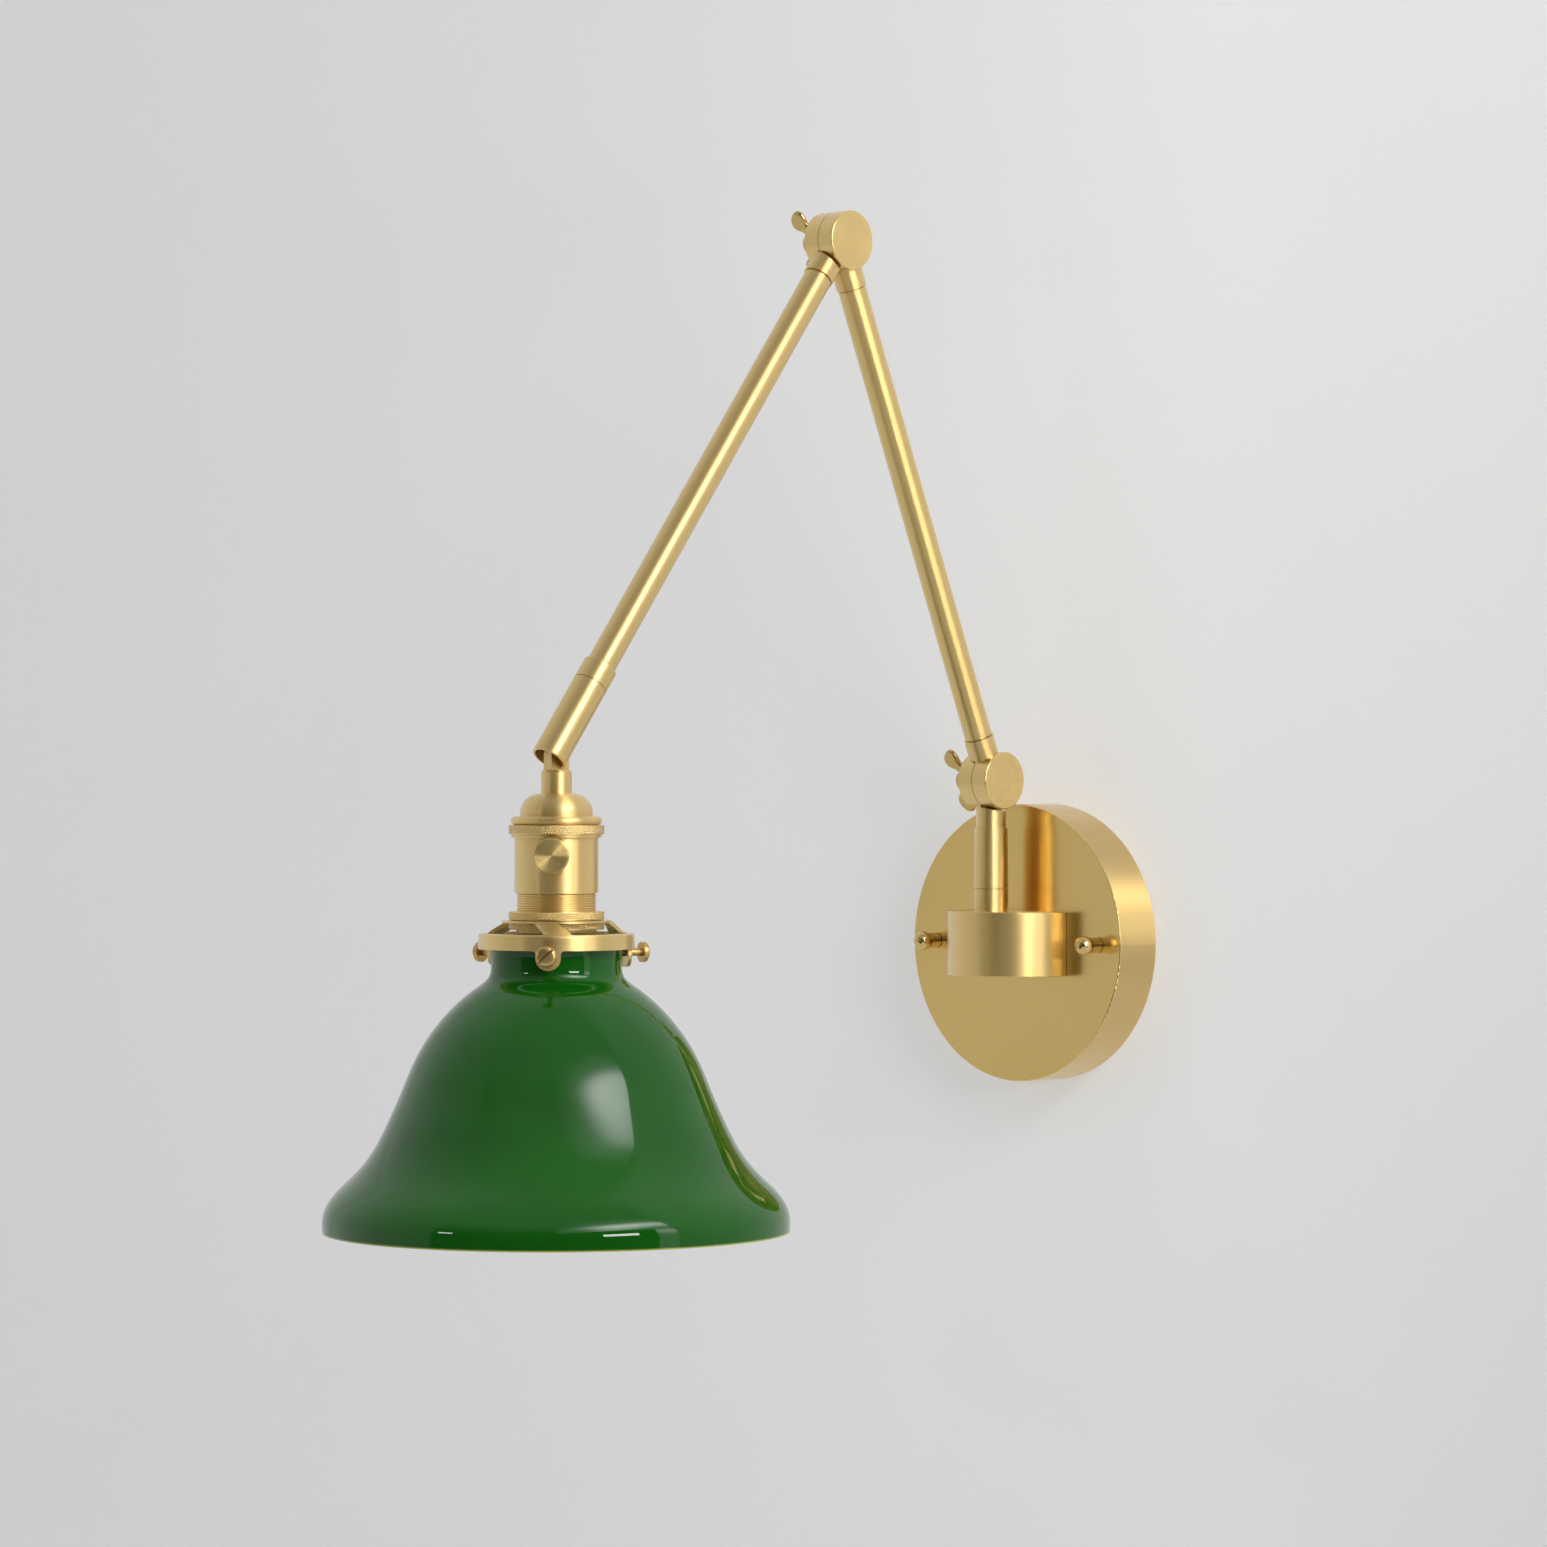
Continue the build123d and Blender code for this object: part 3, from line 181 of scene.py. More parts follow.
BRASS = ((0.79, 0.565, 0.205), (0.85, 0.615, 0.235))
DARK_BRASS = ((0.56, 0.38, 0.14), (0.68, 0.48, 0.19))
KNOB_BRASS = ((0.68, 0.49, 0.17), (0.80, 0.59, 0.22))
CAST_BRASS = ((0.60, 0.42, 0.16), (0.70, 0.51, 0.21))
SMALL_BRASS = ((0.66, 0.47, 0.19), (0.74, 0.54, 0.23))
STEEL = ((0.55, 0.55, 0.53), (0.66, 0.66, 0.63))
GREEN = ((0.05, 0.33, 0.12), (0.08, 0.42, 0.16))
SKEW = (61.0, 47.0, 53.0)  # slow drift of the lathe marks along the axis and around it
KNUCKLE_FINISH = {"gloss": (0.26, 0.34), "stretch": 0.5, "marks": 0.02, "groove": 3200}


def turned(name, centre, axis, tones=BRASS, gloss=(0.38, 0.46), stretch=0.9,
           marks=0.06, groove=1400.0, shaded_seam=None):
    """Lacquered metal worked on a lathe.

    Fine rings run about an axis and spread its gloss across them. Past the depth
    given for the seam, where given, the colour is darkened as painted shade,
    standing for the shadow in the crevice where the part meets the plate.
    """
    m = Surface(name)
    coords = m.add("ShaderNodeTexCoord")
    place = m.vector("SUBTRACT", coords.outputs["Object"], tuple(centre))
    along = m.vector("DOT_PRODUCT", place, tuple(axis))
    on_axis = m.vector("SCALE", tuple(axis), along)
    outward = m.vector("SUBTRACT", place, on_axis)
    round_way = m.vector("CROSS_PRODUCT", tuple(axis), place)
    across = m.vector("CROSS_PRODUCT", coords.outputs["Normal"], round_way)
    to_world = m.add("ShaderNodeVectorTransform", vector_type="VECTOR",
                     convert_from="OBJECT", convert_to="WORLD")
    m.join(across, to_world.inputs["Vector"])
    m.join(m.vector("NORMALIZE", to_world.outputs["Vector"]), m.shader.inputs["Tangent"])
    rings = m.add("ShaderNodeCombineXYZ")
    m.join(m.math("MULTIPLY", m.vector("LENGTH", outward), groove), rings.inputs["X"])
    m.join(m.math("MULTIPLY", along, groove), rings.inputs["Y"])
    m.join(m.vector("DOT_PRODUCT", place, SKEW), rings.inputs["Z"])
    lines = m.noise(rings.outputs["Vector"], 1.0, 4.0, 0.65)
    clouds = m.noise(coords.outputs["Object"], 11.0, 2.0, 0.4)
    tone = m.math("MULTIPLY_ADD", lines, 0.45, m.math("MULTIPLY", clouds, 0.55))
    colour = m.ramp(tone, [(0.38, tones[0]), (0.62, tones[1])])
    # painted shade: the colour darkens towards the plate, standing for the shadow in the crevice between part and
    # plate
    if shaded_seam:
        depth = m.vector("DOT_PRODUCT", coords.outputs["Object"], tuple(Y_WAY))
        shade = m.spread(depth, 1.0, 0.12, shaded_seam - 0.35 * MM, shaded_seam - 0.15 * MM)
        colour = m.vector("SCALE", colour, shade)
    m.join(colour, m.shader.inputs["Base Color"])
    m.join(m.spread(tone, gloss[0], gloss[1], 0.38, 0.62), m.shader.inputs["Roughness"])
    m.bump(lines, marks, 0.08 * MM)
    m.shader.inputs["Metallic"].default_value = 1.0
    m.shader.inputs["Anisotropic"].default_value = stretch
    m.shader.inputs["Coat Weight"].default_value = 1.0
    m.shader.inputs["Coat Roughness"].default_value = 0.25
    return m.material


def satin(name, tones=BRASS, gloss=(0.16, 0.22),
          grain=(900.0, 2600.0, 900.0), marks=0.03):
    """Evenly polished metal with a faint grain."""
    m = Surface(name)
    coords = m.add("ShaderNodeTexCoord")
    fine = m.noise(m.vector("MULTIPLY", coords.outputs["Object"], grain), 1.0, 3.0, 0.6)
    clouds = m.noise(coords.outputs["Object"], 9.0, 2.0, 0.4)
    tone = m.math("MULTIPLY_ADD", fine, 0.35, m.math("MULTIPLY", clouds, 0.65))
    m.join(m.ramp(tone, [(0.38, tones[0]), (0.62, tones[1])]), m.shader.inputs["Base Color"])
    m.join(m.spread(fine, gloss[0], gloss[1]), m.shader.inputs["Roughness"])
    m.bump(fine, marks, 0.06 * MM)
    m.shader.inputs["Metallic"].default_value = 1.0
    return m.material


def plain(name, colour, deep, roughness, grain=900.0, strength=0.15):
    """Dull plastic or fibre that is dappled with a deeper colour."""
    m = Surface(name)
    coords = m.add("ShaderNodeTexCoord")
    dapple = m.noise(coords.outputs["Object"], grain, 3.0)
    m.join(m.ramp(dapple, [(0.35, deep), (0.65, colour)]), m.shader.inputs["Base Color"])
    m.join(m.spread(dapple, roughness - 0.05, roughness + 0.08), m.shader.inputs["Roughness"])
    m.bump(dapple, strength, 0.1 * MM)
    return m.material


canopy_side = turned("canopy_side", (0, 0, 0), Y_WAY, gloss=(0.46, 0.54), stretch=0.94)
canopy_face = satin("canopy_face")
BOSS_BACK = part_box("boss")[1].y
# the boss's colour is darkened as painted shade where it meets the canopy's face
boss_metal = turned("boss_metal", (0, BOSS_BACK, 0), Z_WAY, shaded_seam=BOSS_BACK)
stem_metal = turned("stem_metal", joint_at["stem_pan"], Z_WAY)
head_metal = turned("head_metal", head_axis, Z_WAY)
lower_metal = turned("lower_tube_metal", wall_pivot, lower_way)
upper_metal = turned("upper_tube_metal", elbow_pivot, upper_way)
wall_knuckle_metal = turned("wall_knuckle_metal", wall_pivot, X_WAY, **KNUCKLE_FINISH)
elbow_metal = turned("elbow_metal", elbow_pivot, X_WAY, **KNUCKLE_FINISH)
knob_metal = turned("knob_metal", middle_of("switch_knob"), knob_way, KNOB_BRASS,
                    gloss=(0.36, 0.46), stretch=0.92, marks=0.5, groove=900.0)
cast_brass = satin("cast_brass", CAST_BRASS, (0.20, 0.30), (700, 700, 700), 0.1)
screw_brass = satin("screw_brass", DARK_BRASS, (0.30, 0.40), (1500, 1500, 1500), 0.05)
bright_brass = satin("bright_brass", SMALL_BRASS, (0.10, 0.16), (900, 900, 900), 0.02)
steel = satin("plated_steel", STEEL, (0.28, 0.42), (2600, 900, 900), 0.1)
green_steel = satin("green_steel", GREEN, (0.3, 0.45), (2600, 900, 900), 0.1)
green_wire = plain("green_insulation", (0.06, 0.34, 0.10), (0.04, 0.27, 0.08), 0.4)
white_wire = plain("white_insulation", (0.80, 0.80, 0.77), (0.72, 0.72, 0.69), 0.4)
black_wire = plain("black_insulation", (0.03, 0.03, 0.03), (0.02, 0.02, 0.02), 0.4)
fibre = plain("fibre_liner", (0.22, 0.18, 0.13), (0.15, 0.12, 0.09), 0.8, 1500.0, 0.4)
block = plain("socket_block", (0.10, 0.075, 0.06), (0.07, 0.05, 0.04), 0.45)
slots = {
    "satin_brass": canopy_face,
    "turned_brass": bright_brass,
    "plated_steel": steel,
    "green_screw": green_steel,
    "green_insulation": green_wire,
    "white_insulation": white_wire,
    "black_insulation": black_wire,
    "fibre_liner": fibre,
    "socket_block": block,
}
special = {
    "boss": boss_metal,
    "base_ferrule": stem_metal,
    "stem_sleeve": stem_metal,
    "stem_knuckle": wall_knuckle_metal,
    "lower_arm_foot": wall_knuckle_metal,
    "lower_arm_tube": lower_metal,
    "lower_arm_head": elbow_metal,
    "upper_arm_knuckle": elbow_metal,
    "upper_arm_tube": upper_metal,
    "upper_arm_collar": upper_metal,
    "head_sleeve": upper_metal,
    "head_tongue": head_metal,
    "socket_shell": head_metal,
    "gallery": head_metal,
}

for part in frame["record"]["subparts"]:
    name = part["node"]
    mesh = nodes[name].data
    mesh.materials.clear()
    mesh.materials.append(special.get(name, slots.get(part["material_slot"], canopy_face)))


def second_metal(name, material, chosen):
    """Another material on those faces of a node that the test picks by their middle."""
    mesh = nodes[name].data
    mesh.materials.append(material)
    for polygon in mesh.polygons:
        if chosen(polygon.center):
            polygon.material_index = 1


# The canopy's side is ringed as it was spun and its face is polished
CANOPY_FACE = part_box("canopy")[0].y
second_metal("canopy", canopy_side, lambda p: p.y > CANOPY_FACE + 0.6 * MM)

# Each knuckle's neck is ringed about its own axis
KNUCKLE = 13.5 * MM
necks = [
    ("stem_knuckle", wall_pivot, stem_metal),
    ("lower_arm_foot", wall_pivot, lower_metal),
    ("lower_arm_head", elbow_pivot, lower_metal),
    ("upper_arm_knuckle", elbow_pivot, upper_metal),
]
for name, pivot, neck in necks:
    second_metal(name, neck, lambda p: (p.yz - pivot.yz).length > KNUCKLE)


def solid(name, mesh, material, body, node, sharp=35):
    """A new piece that stands for a CAD node."""
    obj = bpy.data.objects.new(name, mesh)
    scene.collection.objects.link(obj)
    mesh.polygons.foreach_set("use_smooth", [True] * len(mesh.polygons))
    mesh.set_sharp_from_angle(angle=radians(sharp))
    mesh.materials.clear()
    mesh.materials.append(material)
    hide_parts(node)
    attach(obj, body)


def mesh_of(name, verts, faces):
    """A mesh whose faces all point outwards."""
    mesh = bpy.data.meshes.new(name)
    mesh.from_pydata(verts, [], faces)
    tidy = bmesh.new()
    tidy.from_mesh(mesh)
    bmesh.ops.recalc_face_normals(tidy, faces=tidy.faces)
    tidy.to_mesh(mesh)
    tidy.free()
    return mesh


def lathe(name, outline, segments=192, wave=None, centre=head_axis, axis=Z_WAY):
    """Closed outline of (radius, height) in metres, turned about an axis."""
    side = (X_WAY if abs(axis.x) < 0.9 else Y_WAY).cross(axis).normalized()
    other = axis.cross(side)
    verts, faces = [], []
    count = len(outline)
    for s in range(segments):
        a = 2 * pi * s / segments
        for r, z in outline:
            rr = r if wave is None else wave(r, z, a)
            verts.append(centre + side * (rr * cos(a)) + other * (rr * sin(a)) + axis * z)
    for s in range(segments):
        t = (s + 1) % segments
        for i in range(count):
            j = (i + 1) % count
            faces.append((s * count + i, t * count + i, t * count + j, s * count + j))
    return mesh_of(name, verts, faces)


# Glass shade: the bell's outer line, and the same line moved inwards
GLASS_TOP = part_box("shade_glass")[1].z
FITTER = [(29.3, 0.0), (29.3, 3.0), (28.2, 4.4)]
NECK = [(28.2, 10.0), (28.2, 15.3)]
BELL = [
    (29.7, 18.5), (36.2, 22.9), (43.9, 29.4), (53.3, 40.0), (61.2, 52.9),
    (66.5, 66.5), (73.9, 82.8), (78.6, 91.8), (85.4, 100.7), (94.0, 108.5),
    (98.9, 115.0), (100.5, 120.8), (100.3, 126.3),
]
GLASS_FOOT = GLASS_TOP - BELL[-1][1] * MM
COLOURED, CASED = 2.2, 3.0  # depth of the green layer, and of both layers, in mm


def smooth_line(points, steps):
    """Even curve through points, by chords."""
    pts = [Vector(p) for p in points]
    pts = [pts[0] * 2 - pts[1]] + pts + [pts[-1] * 2 - pts[-2]]
    line = []
    for i in range(1, len(pts) - 2):
        p0, p1, p2, p3 = pts[i - 1:i + 3]
        t0 = 0.0
        t1 = t0 + sqrt((p1 - p0).length)
        t2 = t1 + sqrt((p2 - p1).length)
        t3 = t2 + sqrt((p3 - p2).length)
        for k in range(steps):
            t = t1 + (t2 - t1) * k / steps
            a1 = p0 * ((t1 - t) / (t1 - t0)) + p1 * ((t - t0) / (t1 - t0))
            a2 = p1 * ((t2 - t) / (t2 - t1)) + p2 * ((t - t1) / (t2 - t1))
            a3 = p2 * ((t3 - t) / (t3 - t2)) + p3 * ((t - t2) / (t3 - t2))
            b1 = a1 * ((t2 - t) / (t2 - t0)) + a2 * ((t - t0) / (t2 - t0))
            b2 = a2 * ((t3 - t) / (t3 - t1)) + a3 * ((t - t1) / (t3 - t1))
            line.append(b1 * ((t2 - t) / (t2 - t1)) + b2 * ((t - t1) / (t2 - t1)))
    line.append(pts[-2])
    return line


def evened(line, rounds):
    """A line whose bends are spread over its neighbours, with its ends kept."""
    for _ in range(rounds):
        inner = [(a + b * 2 + c) / 4 for a, b, c in zip(line, line[1:], line[2:])]
        line = [line[0]] + inner + [line[-1]]
    return line


glass_line = [Vector(p) for p in FITTER] + evened(smooth_line(NECK + BELL, 8), 24)


def inset(line, depth):
    """A line moved to its inner side by a depth."""
    moved = []
    for i, p in enumerate(line):
        a = line[max(i - 1, 0)]
        b = line[min(i + 1, len(line) - 1)]
        way = (b - a).normalized()
        moved.append(p + Vector((-way.y, way.x)) * depth if way.y > 0 else p)
    return moved


def glass_shell(name, start, end, material, node):
    """The layer of glass between two depths in mm."""
    near = inset(glass_line, start)
    far = inset(glass_line, end)
    near[0].y = far[0].y = 0.0
    outline = [(p.x * MM, GLASS_TOP - p.y * MM) for p in near + far[::-1]]
    solid(name, lathe(name, outline, 256), material, "head", node, 50)


def cased_glass():
    """Deep green glass, pale and yellow where its cut edge shows at the foot."""
    m = Surface("green_glass")
    coords = m.add("ShaderNodeTexCoord")
    apart = m.add("ShaderNodeSeparateXYZ")
    m.join(coords.outputs["Object"], apart.inputs["Vector"])
    edge = m.spread(apart.outputs["Z"], 0.0, 1.0, GLASS_FOOT + 0.2 * MM, GLASS_FOOT + 0.9 * MM)
    swirl = m.noise(m.vector("MULTIPLY", coords.outputs["Object"], (1, 1, 2.5)), 13.0, 3.0)
    body = m.ramp(swirl, [(0.3, (0.004, 0.090, 0.003)), (0.7, (0.006, 0.116, 0.004))])
    mix = m.add("ShaderNodeMix", data_type="RGBA")
    m.join(edge, mix.inputs["Factor"])
    mix.inputs["A"].default_value = (0.50, 0.52, 0.12, 1)
    m.join(body, mix.inputs["B"])
    m.join(mix.outputs["Result"], m.shader.inputs["Base Color"])
    m.shader.inputs["Roughness"].default_value = 0.03
    m.shader.inputs["IOR"].default_value = 1.43
    m.bump(m.noise(coords.outputs["Object"], 8.0, 1.0), 0.03, 0.002)
    return m.material


def opal_glass():
    """Milky white glass."""
    m = Surface("opal_lining")
    coords = m.add("ShaderNodeTexCoord")
    cloud = m.noise(coords.outputs["Object"], 20.0, 2.0)
    milk = m.ramp(cloud, [(0.3, (0.80, 0.82, 0.72)), (0.7, (0.86, 0.87, 0.80))])
    m.join(milk, m.shader.inputs["Base Color"])
    m.shader.inputs["Roughness"].default_value = 0.08
    m.shader.inputs["IOR"].default_value = 1.5
    m.bump(cloud, 0.05, 0.001)
    return m.material


glass_shell("green_shade", 0.0, COLOURED, cased_glass(), "shade_glass")
glass_shell("shade_inner_layer", COLOURED, CASED, opal_glass(), "shade_lining")


# Knurled rings
def knurled(name, foot, top, radius, bore, body, node, lip=None):
    """Ring with a crossed knurl on its outer face.

    Below the knurl is a plain lip of (radius, foot) where given.
    """
    rows, teeth, edge = 12, 112, 0.35 * MM
    depth = 0.42 * MM
    bevel = 0.3 * MM
    band = (top - foot) - 2 * edge
    outline = [(bore, foot)]
    if lip:
        reach, drop = lip
        outline = [(bore, drop), (reach - bevel, drop), (reach, drop + bevel), (reach, foot)]
    outline.append((radius - edge, foot))
    for k in range(rows + 1):
        outline.append((radius, foot + edge + band * k / rows))
    outline += [(radius - edge, top), (bore, top)]
    pitch = 2 * pi / teeth
    rise = 0.62 / (radius * pitch)

    def wave(r, z, a):
        if r < radius - 1e-7:
            return r
        u = a / pitch + (z - foot) * rise
        v = a / pitch - (z - foot) * rise
        ridge = abs((u % 1) - 0.5) * 2 + abs((v % 1) - 0.5) * 2
        return r - depth * (1 - ridge / 2)

    ring_mesh = lathe(name, outline, teeth * 8, wave)
    solid(name, ring_mesh, head_metal, body, node, 50)


RING_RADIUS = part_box("upper_shade_ring")[1].x
RING_BORE = 17.15 * MM
for name in ("upper_shade_ring", "lower_shade_ring"):
    low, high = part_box(name)
    knurled(name.replace("shade_", ""), low.z, high.z, RING_RADIUS, RING_BORE, name, name)

LIP_TALL, LIP_RADIUS, SHELL_RADIUS = 1.6 * MM, 19.5 * MM, 18.1 * MM
low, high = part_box("cap_ring")
knurled("cap_knurl", low.z + LIP_TALL, high.z, high.x, SHELL_RADIUS, "head", "cap_ring",
        (LIP_RADIUS, low.z))

# Socket cap: a spun dome with a rounded bead at its foot, as heights below its top
cap_low, cap_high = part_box("socket_cap")
CAP_TALL = (cap_high.z - cap_low.z) / MM
SKIN = 0.9  # the spun sheet's inset in each direction, in mm


def bend(middle, size, start, sweep, steps):
    """Points on an oval, in mm, as (radius, drop)."""
    points = []
    for k in range(steps + 1):
        a = radians(start - sweep * k / steps)
        points.append((middle[0] + size[0] * cos(a), middle[1] - size[1] * sin(a)))
    return points


dome = bend((7.08, 8.68), (8.68, 8.68), 92.5, 99.9, 14)
bead = bend((17.7, 11.8), (2.0, 1.9), 105, 185, 10)
under_dome = [(r - SKIN, drop + SKIN) for r, drop in dome[::-1] if r > 8]
cap_line = dome + [(16.5, 9.9)] + bead
cap_line += [(17.2, CAP_TALL), (17.2, 11.6), (14.4, 11.2)] + under_dome
cap_line += [(4.0, 1.2), (4.0, 0.0)]
cap_mesh = lathe("cap", [(r * MM, cap_high.z - drop * MM) for r, drop in cap_line], 128)
solid("spun_cap", cap_mesh, head_metal, "head", "socket_cap")

# Thumb screws, each turned on its axis so that the slot leans to the right
SCREW_TURN = radians(-48)
SCREW_AZIMUTHS = {"front": 40.8, "right": 160.8, "left": -79.2}
for side, azimuth in SCREW_AZIMUTHS.items():
    name = "gallery_screw_" + side
    way = Vector((sin(radians(azimuth)), -cos(radians(azimuth)), 0))
    centre = head_axis + Z_WAY * middle_of(name).z
    turn = Matrix.Rotation(SCREW_TURN, 4, way)
    turn = Matrix.Translation(centre) @ turn @ Matrix.Translation(-centre)
    mesh = nodes[name].data.copy()
    mesh.transform(turn)
    solid("thumb_screw_" + side, mesh, screw_brass, name, name, 30)

# Switch knob: concentric turning marks and a small centre dimple
knob_low, knob_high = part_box("switch_knob")
knob_middle = (knob_low + knob_high) / 2
knob_radius = (knob_high.z - knob_low.z) / 2
KNOB_HALF = 2.3 * MM
KNOB_EDGE = 0.5 * MM
KNOB_BORE = 2.0 * MM
RING_STEP, RING_DEEP, RING_COUNT = 0.23 * MM, 0.035 * MM, 27
DIMPLE = 0.05 * MM
knob_outline = [
    (KNOB_BORE, -KNOB_HALF),
    (knob_radius - KNOB_EDGE, -KNOB_HALF),
    (knob_radius, -KNOB_HALF + KNOB_EDGE),
    (knob_radius, KNOB_HALF - KNOB_EDGE),
    (knob_radius - KNOB_EDGE, KNOB_HALF),
]
for k in range(RING_COUNT):
    ring = knob_radius - 0.9 * MM - k * RING_STEP
    knob_outline.append((ring, KNOB_HALF - (RING_DEEP if k % 2 else 0.0)))
knob_outline += [
    (0.5 * MM, KNOB_HALF),
    (DIMPLE, KNOB_HALF - 0.25 * MM),
    (DIMPLE, 0.0),
    (KNOB_BORE, 0.0),
]
knob = lathe("knob", knob_outline, 96, None, knob_middle, knob_way)
solid("knob", knob, knob_metal, "switch_knob", "switch_knob", 20)


# Wing nuts: a tapered hub with two smooth cast ears
NUT_SEAT = 10.1 * MM  # from the knuckle's middle to the nut's seat
HUB = [  # radius and height in mm
    (3.3, 0.0), (5.6, 0.0), (5.8, 0.25), (5.8, 1.1), (5.3, 2.0),
    (5.0, 5.0), (4.8, 7.7), (4.3, 8.3), (3.3, 8.4),
]
EAR = [  # reach, rise, half width and half thickness in mm
    (3.4, 3.4, 3.0, 1.9), (4.8, 4.6, 2.9, 1.8), (6.6, 6.0, 2.5, 1.6),
    (8.3, 7.4, 3.0, 1.5), (9.7, 8.5, 4.2, 1.55), (11.1, 9.7, 4.9, 1.6),
    (12.5, 10.8, 4.8, 1.55), (13.7, 11.8, 3.7, 1.4), (14.4, 12.3, 2.0, 1.0),
]
EAR_SIDES = 24
EAR_SQUARE = 2.6  # power of the ear's section, where 2 is an oval


def wing_nut(name, pivot, lean, node):
    base = pivot + X_WAY * -NUT_SEAT
    away = -X_WAY
    up = Vector((0, -sin(radians(lean)), cos(radians(lean))))
    hub_mesh = lathe(name, [(r * MM, h * MM) for r, h in HUB], 48, None, base, away)
    verts = [v.co.copy() for v in hub_mesh.vertices]
    faces = [tuple(p.vertices) for p in hub_mesh.polygons]
    for way in (up, -up):
        start = len(verts)
        run = (way * 0.7 + away * 0.72).normalized()
        wide = (way * 0.72 - away * 0.7).normalized()
        thin = run.cross(wide)
        for reach, rise, half, thick in EAR:
            centre = base + way * (reach * MM) + away * (rise * MM)
            for k in range(EAR_SIDES):
                a = 2 * pi * k / EAR_SIDES
                c, s = cos(a), sin(a)
                grow = (abs(c) ** EAR_SQUARE + abs(s) ** EAR_SQUARE) ** (-1 / EAR_SQUARE)
                across, through = c * grow * half * MM, s * grow * thick * MM
                verts.append(centre + wide * across + thin * through)
        for i in range(len(EAR) - 1):
            foot = start + i * EAR_SIDES
            for k in range(EAR_SIDES):
                a, b = foot + k, foot + (k + 1) % EAR_SIDES
                faces.append((a, b, b + EAR_SIDES, a + EAR_SIDES))
        faces.append(tuple(range(start + EAR_SIDES - 1, start - 1, -1)))
        faces.append(tuple(range(len(verts) - EAR_SIDES, len(verts))))
    rough = bpy.data.objects.new(name + "_rough", mesh_of(name, verts, faces))
    scene.collection.objects.link(rough)
    remesh = rough.modifiers.new("remesh", "REMESH")
    remesh.mode = "VOXEL"
    remesh.voxel_size = 0.22 * MM
    smooth = rough.modifiers.new("smooth", "SMOOTH")
    smooth.iterations = 7
    smooth.factor = 0.6
    depsgraph = bpy.context.evaluated_depsgraph_get()
    cast = bpy.data.meshes.new_from_object(rough.evaluated_get(depsgraph))
    bpy.data.objects.remove(rough)
    solid(name, cast, cast_brass, node, node, 180)


wing_nut("wall_wing", wall_pivot, 28.0, "wall_wing_nut")
wing_nut("elbow_wing", elbow_pivot, 27.0, "elbow_wing_nut")


# Wall and floor
def stage_material(name, colour, lift, window_side_shade=1.0):
    """Plain paint that shows only from its front.

    Its colour is darkened, as painted shade, to a given share on its way to the
    window, so that it doesn't clip to white there, and lift is a faint glow that evens it.
    """
    m = Surface(name)
    coords = m.add("ShaderNodeTexCoord")
    coarse = m.noise(coords.outputs["Object"], 9.0, 5.0)
    across = m.vector("DOT_PRODUCT", coords.outputs["Object"], tuple(X_WAY))
    # painted shade: the paint darkens towards the window, where the light falls strongest
    shade = m.spread(across, 1.0, window_side_shade, 0.1, 0.8)
    paint = m.ramp(coarse, [(0.3, tuple(c * 0.985 for c in colour)), (0.7, colour)])
    m.join(m.vector("SCALE", paint, shade), m.shader.inputs["Base Color"])
    m.bump(m.noise(coords.outputs["Object"], 420.0, 4.0), 0.05, 0.0006)
    m.shader.inputs["Roughness"].default_value = 0.75
    m.shader.inputs["Specular IOR Level"].default_value = 0.2
    facing = m.add("ShaderNodeNewGeometry")
    path = m.add("ShaderNodeLightPath")
    seen = m.math("MAXIMUM", path.outputs["Is Camera Ray"], path.outputs["Is Glossy Ray"])
    seen = m.math("MAXIMUM", seen, path.outputs["Is Transmission Ray"])
    glow = m.add("ShaderNodeEmission")
    m.join(m.math("MULTIPLY", seen, lift), glow.inputs["Strength"])
    lit = m.add("ShaderNodeAddShader")
    m.join(m.shader.outputs["BSDF"], lit.inputs[0])
    m.join(glow.outputs["Emission"], lit.inputs[1])
    clear = m.add("ShaderNodeBsdfTransparent")
    mix = m.add("ShaderNodeMixShader")
    hidden = m.math("MAXIMUM", facing.outputs["Backfacing"], path.outputs["Is Shadow Ray"])
    m.join(hidden, mix.inputs["Fac"])
    m.join(lit.outputs["Shader"], mix.inputs[1])
    m.join(clear.outputs["BSDF"], mix.inputs[2])
    m.join(mix.outputs["Shader"], m.tree.nodes["Material Output"].inputs["Surface"])
    return m.material


def stage_plane(name, corners, material):
    mesh = bpy.data.meshes.new(name)
    mesh.from_pydata(corners, [], [(0, 1, 2, 3)])
    mesh.materials.append(material)
    obj = bpy.data.objects.new(name, mesh)
    scene.collection.objects.link(obj)
    obj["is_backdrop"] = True
    return obj


WALL = 0.0004
FLOOR = -1.35
CEILING = 3
SIDE = 1.05
# the wall's paint is darkened to 0.30 of its colour towards the window, as painted shade
wall_paint = stage_material("wall_paint", (0.66, 0.66, 0.66), 0.34, 0.30)
floor_paint = stage_material("floor_paint", (0.72, 0.72, 0.72), 0.30)
stage_plane("wall", [(-4, WALL, FLOOR), (SIDE, WALL, FLOOR),
                     (SIDE, WALL, CEILING), (-4, WALL, CEILING)], wall_paint)
stage_plane("floor", [(-4, -5, FLOOR), (4, -5, FLOOR),
                      (4, WALL, FLOOR), (-4, WALL, FLOOR)], floor_paint)


# Light: a tall window on the right beside the wall, with a bright pane low in it and a
# pale jamb, a small lamp near the camera, a paler left side, and a lamp behind the wall
FALL_OFF = 2.5  # power of a spot's edge, where 2 is a plain bell


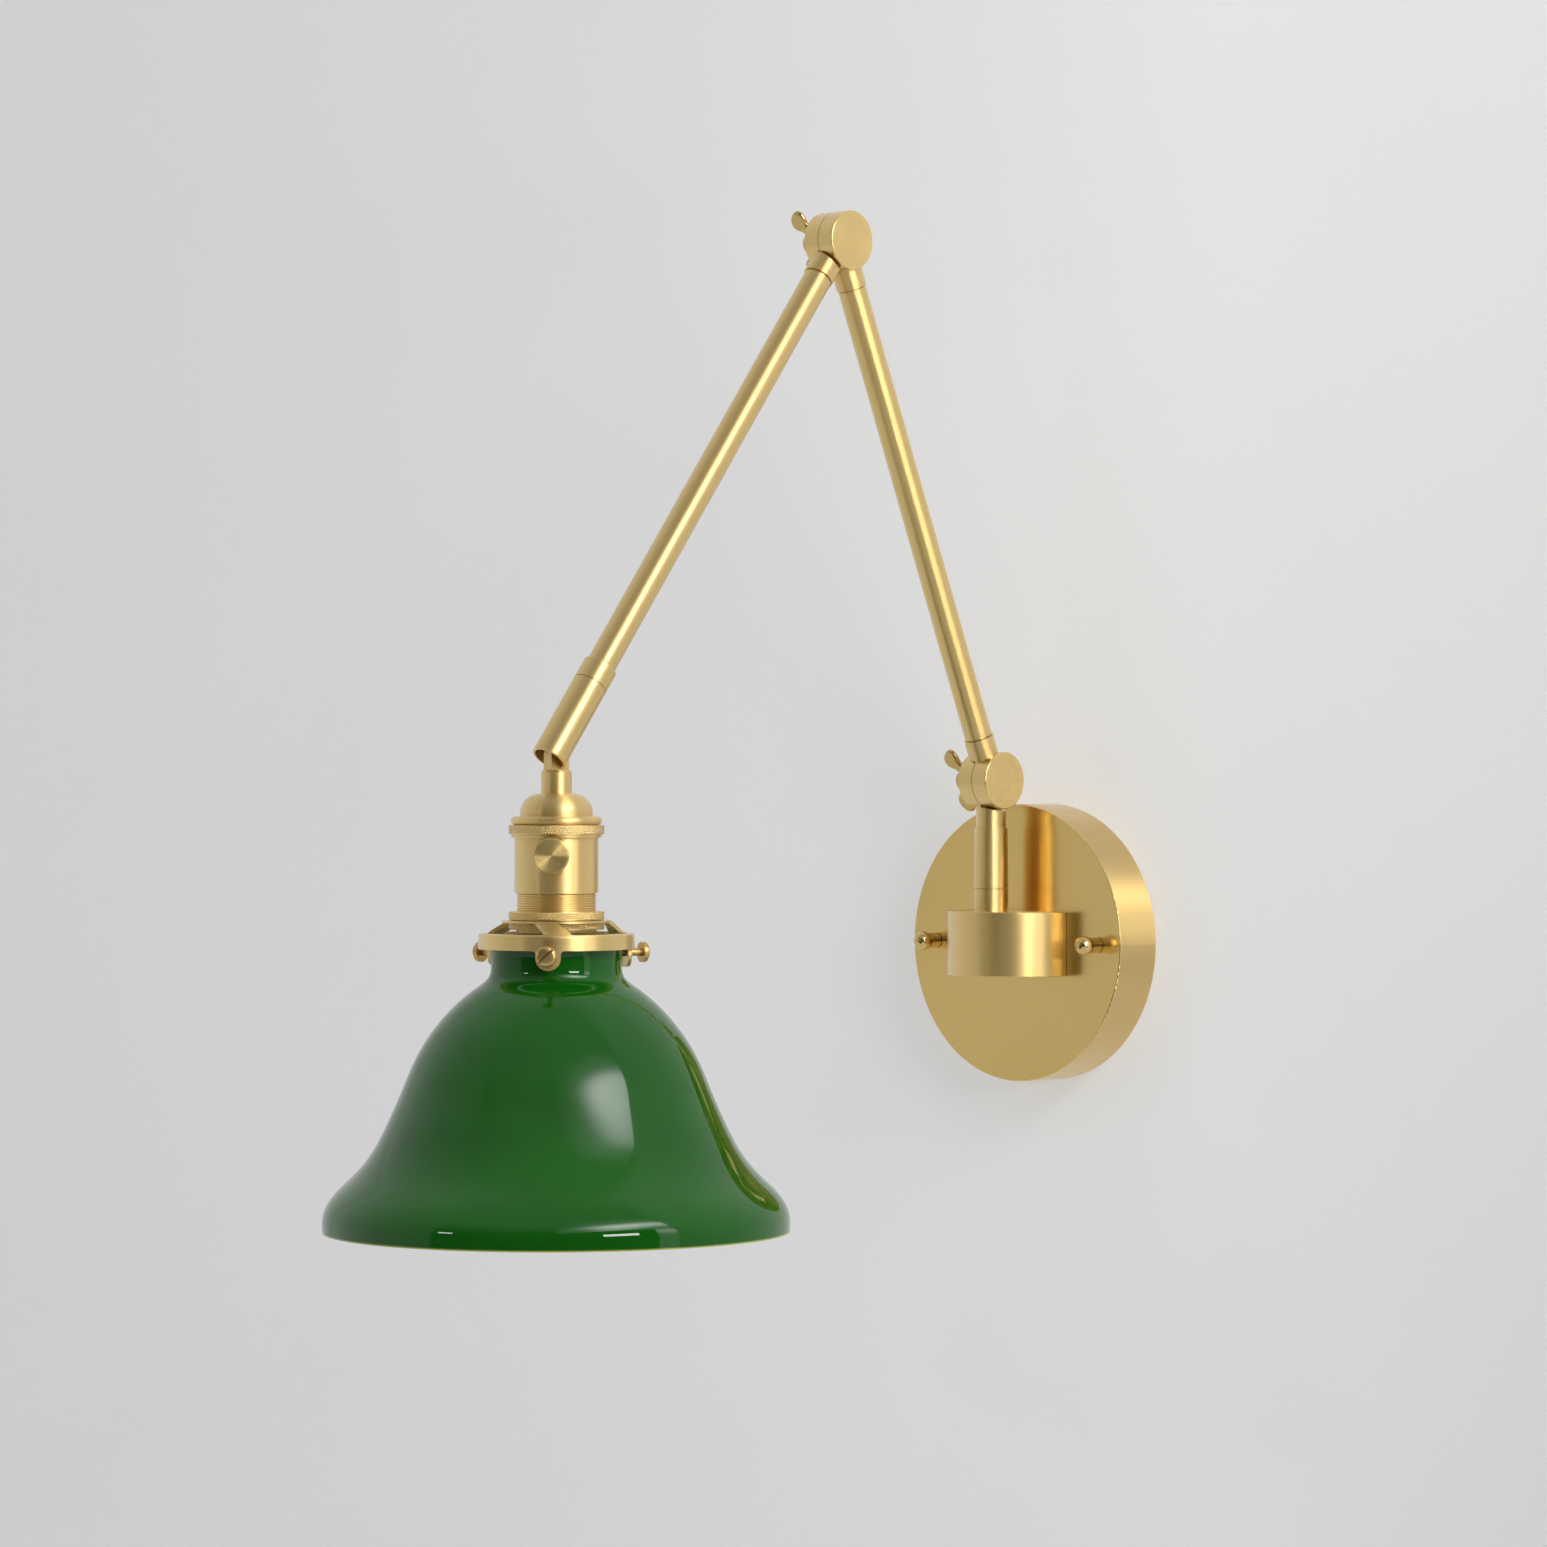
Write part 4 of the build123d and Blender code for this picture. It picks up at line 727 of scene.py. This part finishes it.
def panel(name, corners, strength, spots=()):
    """Glowing sheet, unseen by the camera.

    It is brighter towards each spot of (place, size, extra strength).
    """
    m = Surface(name)
    coords = m.add("ShaderNodeTexCoord")
    total = strength
    for place, size, extra in spots:
        gap = m.vector("SUBTRACT", coords.outputs["Object"], place)
        far = m.vector("LENGTH", m.vector("DIVIDE", gap, size))
        dim = m.math("MULTIPLY", m.math("POWER", far, FALL_OFF), -1.0)
        fall = m.math("POWER", 2.718, dim)
        total = m.math("MULTIPLY_ADD", fall, extra, total)
    glow = m.add("ShaderNodeEmission")
    m.feed(glow, "Strength", total)
    m.join(glow.outputs["Emission"], m.tree.nodes["Material Output"].inputs["Surface"])
    obj = stage_plane(name, corners, m.material)
    obj.visible_camera = False
    obj.visible_shadow = False


def side_panel(name, y_range, z_range, strength, spots=()):
    """Panel on the room's right side, with spots of (y, z, width, height, extra strength)."""
    (near, far), (foot, top) = y_range, z_range
    corners = [(SIDE, near, foot), (SIDE, far, foot), (SIDE, far, top), (SIDE, near, top)]
    spots = [((SIDE, y, z), (1.0, wide, tall), extra) for y, z, wide, tall, extra in spots]
    return panel(name, corners, strength, spots)


KEY_SPOTS = [
    (-0.56, 0.50, 0.24, 0.24, 3.4),
    (-0.35, 0.70, 0.50, 0.17, 7.5),
    (-0.45, 0.75, 0.60, 0.50, 1.2),
]
JAMB_SPOTS = [(-0.10, 0.25, 0.14, 0.13, 3.0)]
side_panel("window", (-1.30, 0.0), (0.40, 2.3), 0.5, KEY_SPOTS)
side_panel("bright_pane", (-0.72, -0.385), (0.10, 0.20), 19.0)
side_panel("jamb", (-0.21, 0.0), (FLOOR, 0.39), 1.0, JAMB_SPOTS)
panel("small_lamp", [(-0.33, -1.9, 0.28), (-0.11, -1.9, 0.28),
                     (-0.11, -1.9, 0.36), (-0.33, -1.9, 0.36)], 14.0)

# Sky: level by direction, and one pale level where the camera sees it
BACKDROP = 0.72
world = bpy.data.worlds.new("room")
world.use_nodes = True
scene.world = world
sky = Nodes(world.node_tree)
coords = sky.add("ShaderNodeTexCoord")
apart = sky.add("ShaderNodeSeparateXYZ")
sky.join(coords.outputs["Generated"], apart.inputs["Vector"])
towards = sky.math("MULTIPLY", apart.outputs["Y"], -1.0)
azimuth = sky.math("ARCTAN2", apart.outputs["X"], towards)
left_part = sky.spread(azimuth, 1.0, 0.0, radians(-18.5), radians(-15.5))
left_level = sky.spread(azimuth, 0.68, 0.46, radians(-70), radians(-20))
right_level = sky.spread(apart.outputs["Z"], 0.08, 0.48, 0.36, 0.70)
level = sky.add("ShaderNodeMix", data_type="FLOAT")
for slot, value in (("Factor", left_part), ("A", right_level), ("B", left_level)):
    sky.join(value, level.inputs[slot])
path = sky.add("ShaderNodeLightPath")
seen = sky.add("ShaderNodeMix", data_type="FLOAT")
sky.join(path.outputs["Is Camera Ray"], seen.inputs["Factor"])
sky.join(level.outputs["Result"], seen.inputs["A"])
seen.inputs["B"].default_value = BACKDROP
background = sky.tree.nodes["Background"]
sky.join(seen.outputs["Result"], background.inputs["Strength"])
background.inputs["Color"].default_value = (1, 1, 1, 1)


def lamp(name, place, target, size, watts):
    data = bpy.data.lights.new(name, "AREA")
    data.shape = "RECTANGLE"
    data.size, data.size_y = size
    data.energy = watts
    obj = bpy.data.objects.new(name, data)
    scene.collection.objects.link(obj)
    obj.location = place
    way = Vector(target) - Vector(place)
    obj.rotation_euler = way.to_track_quat("-Z", "Y").to_euler()


lamp("back", (0.4, 2.2, 1.2), (0, -0.2, 0.08), (1.6, 1.6), 6)

low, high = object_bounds()
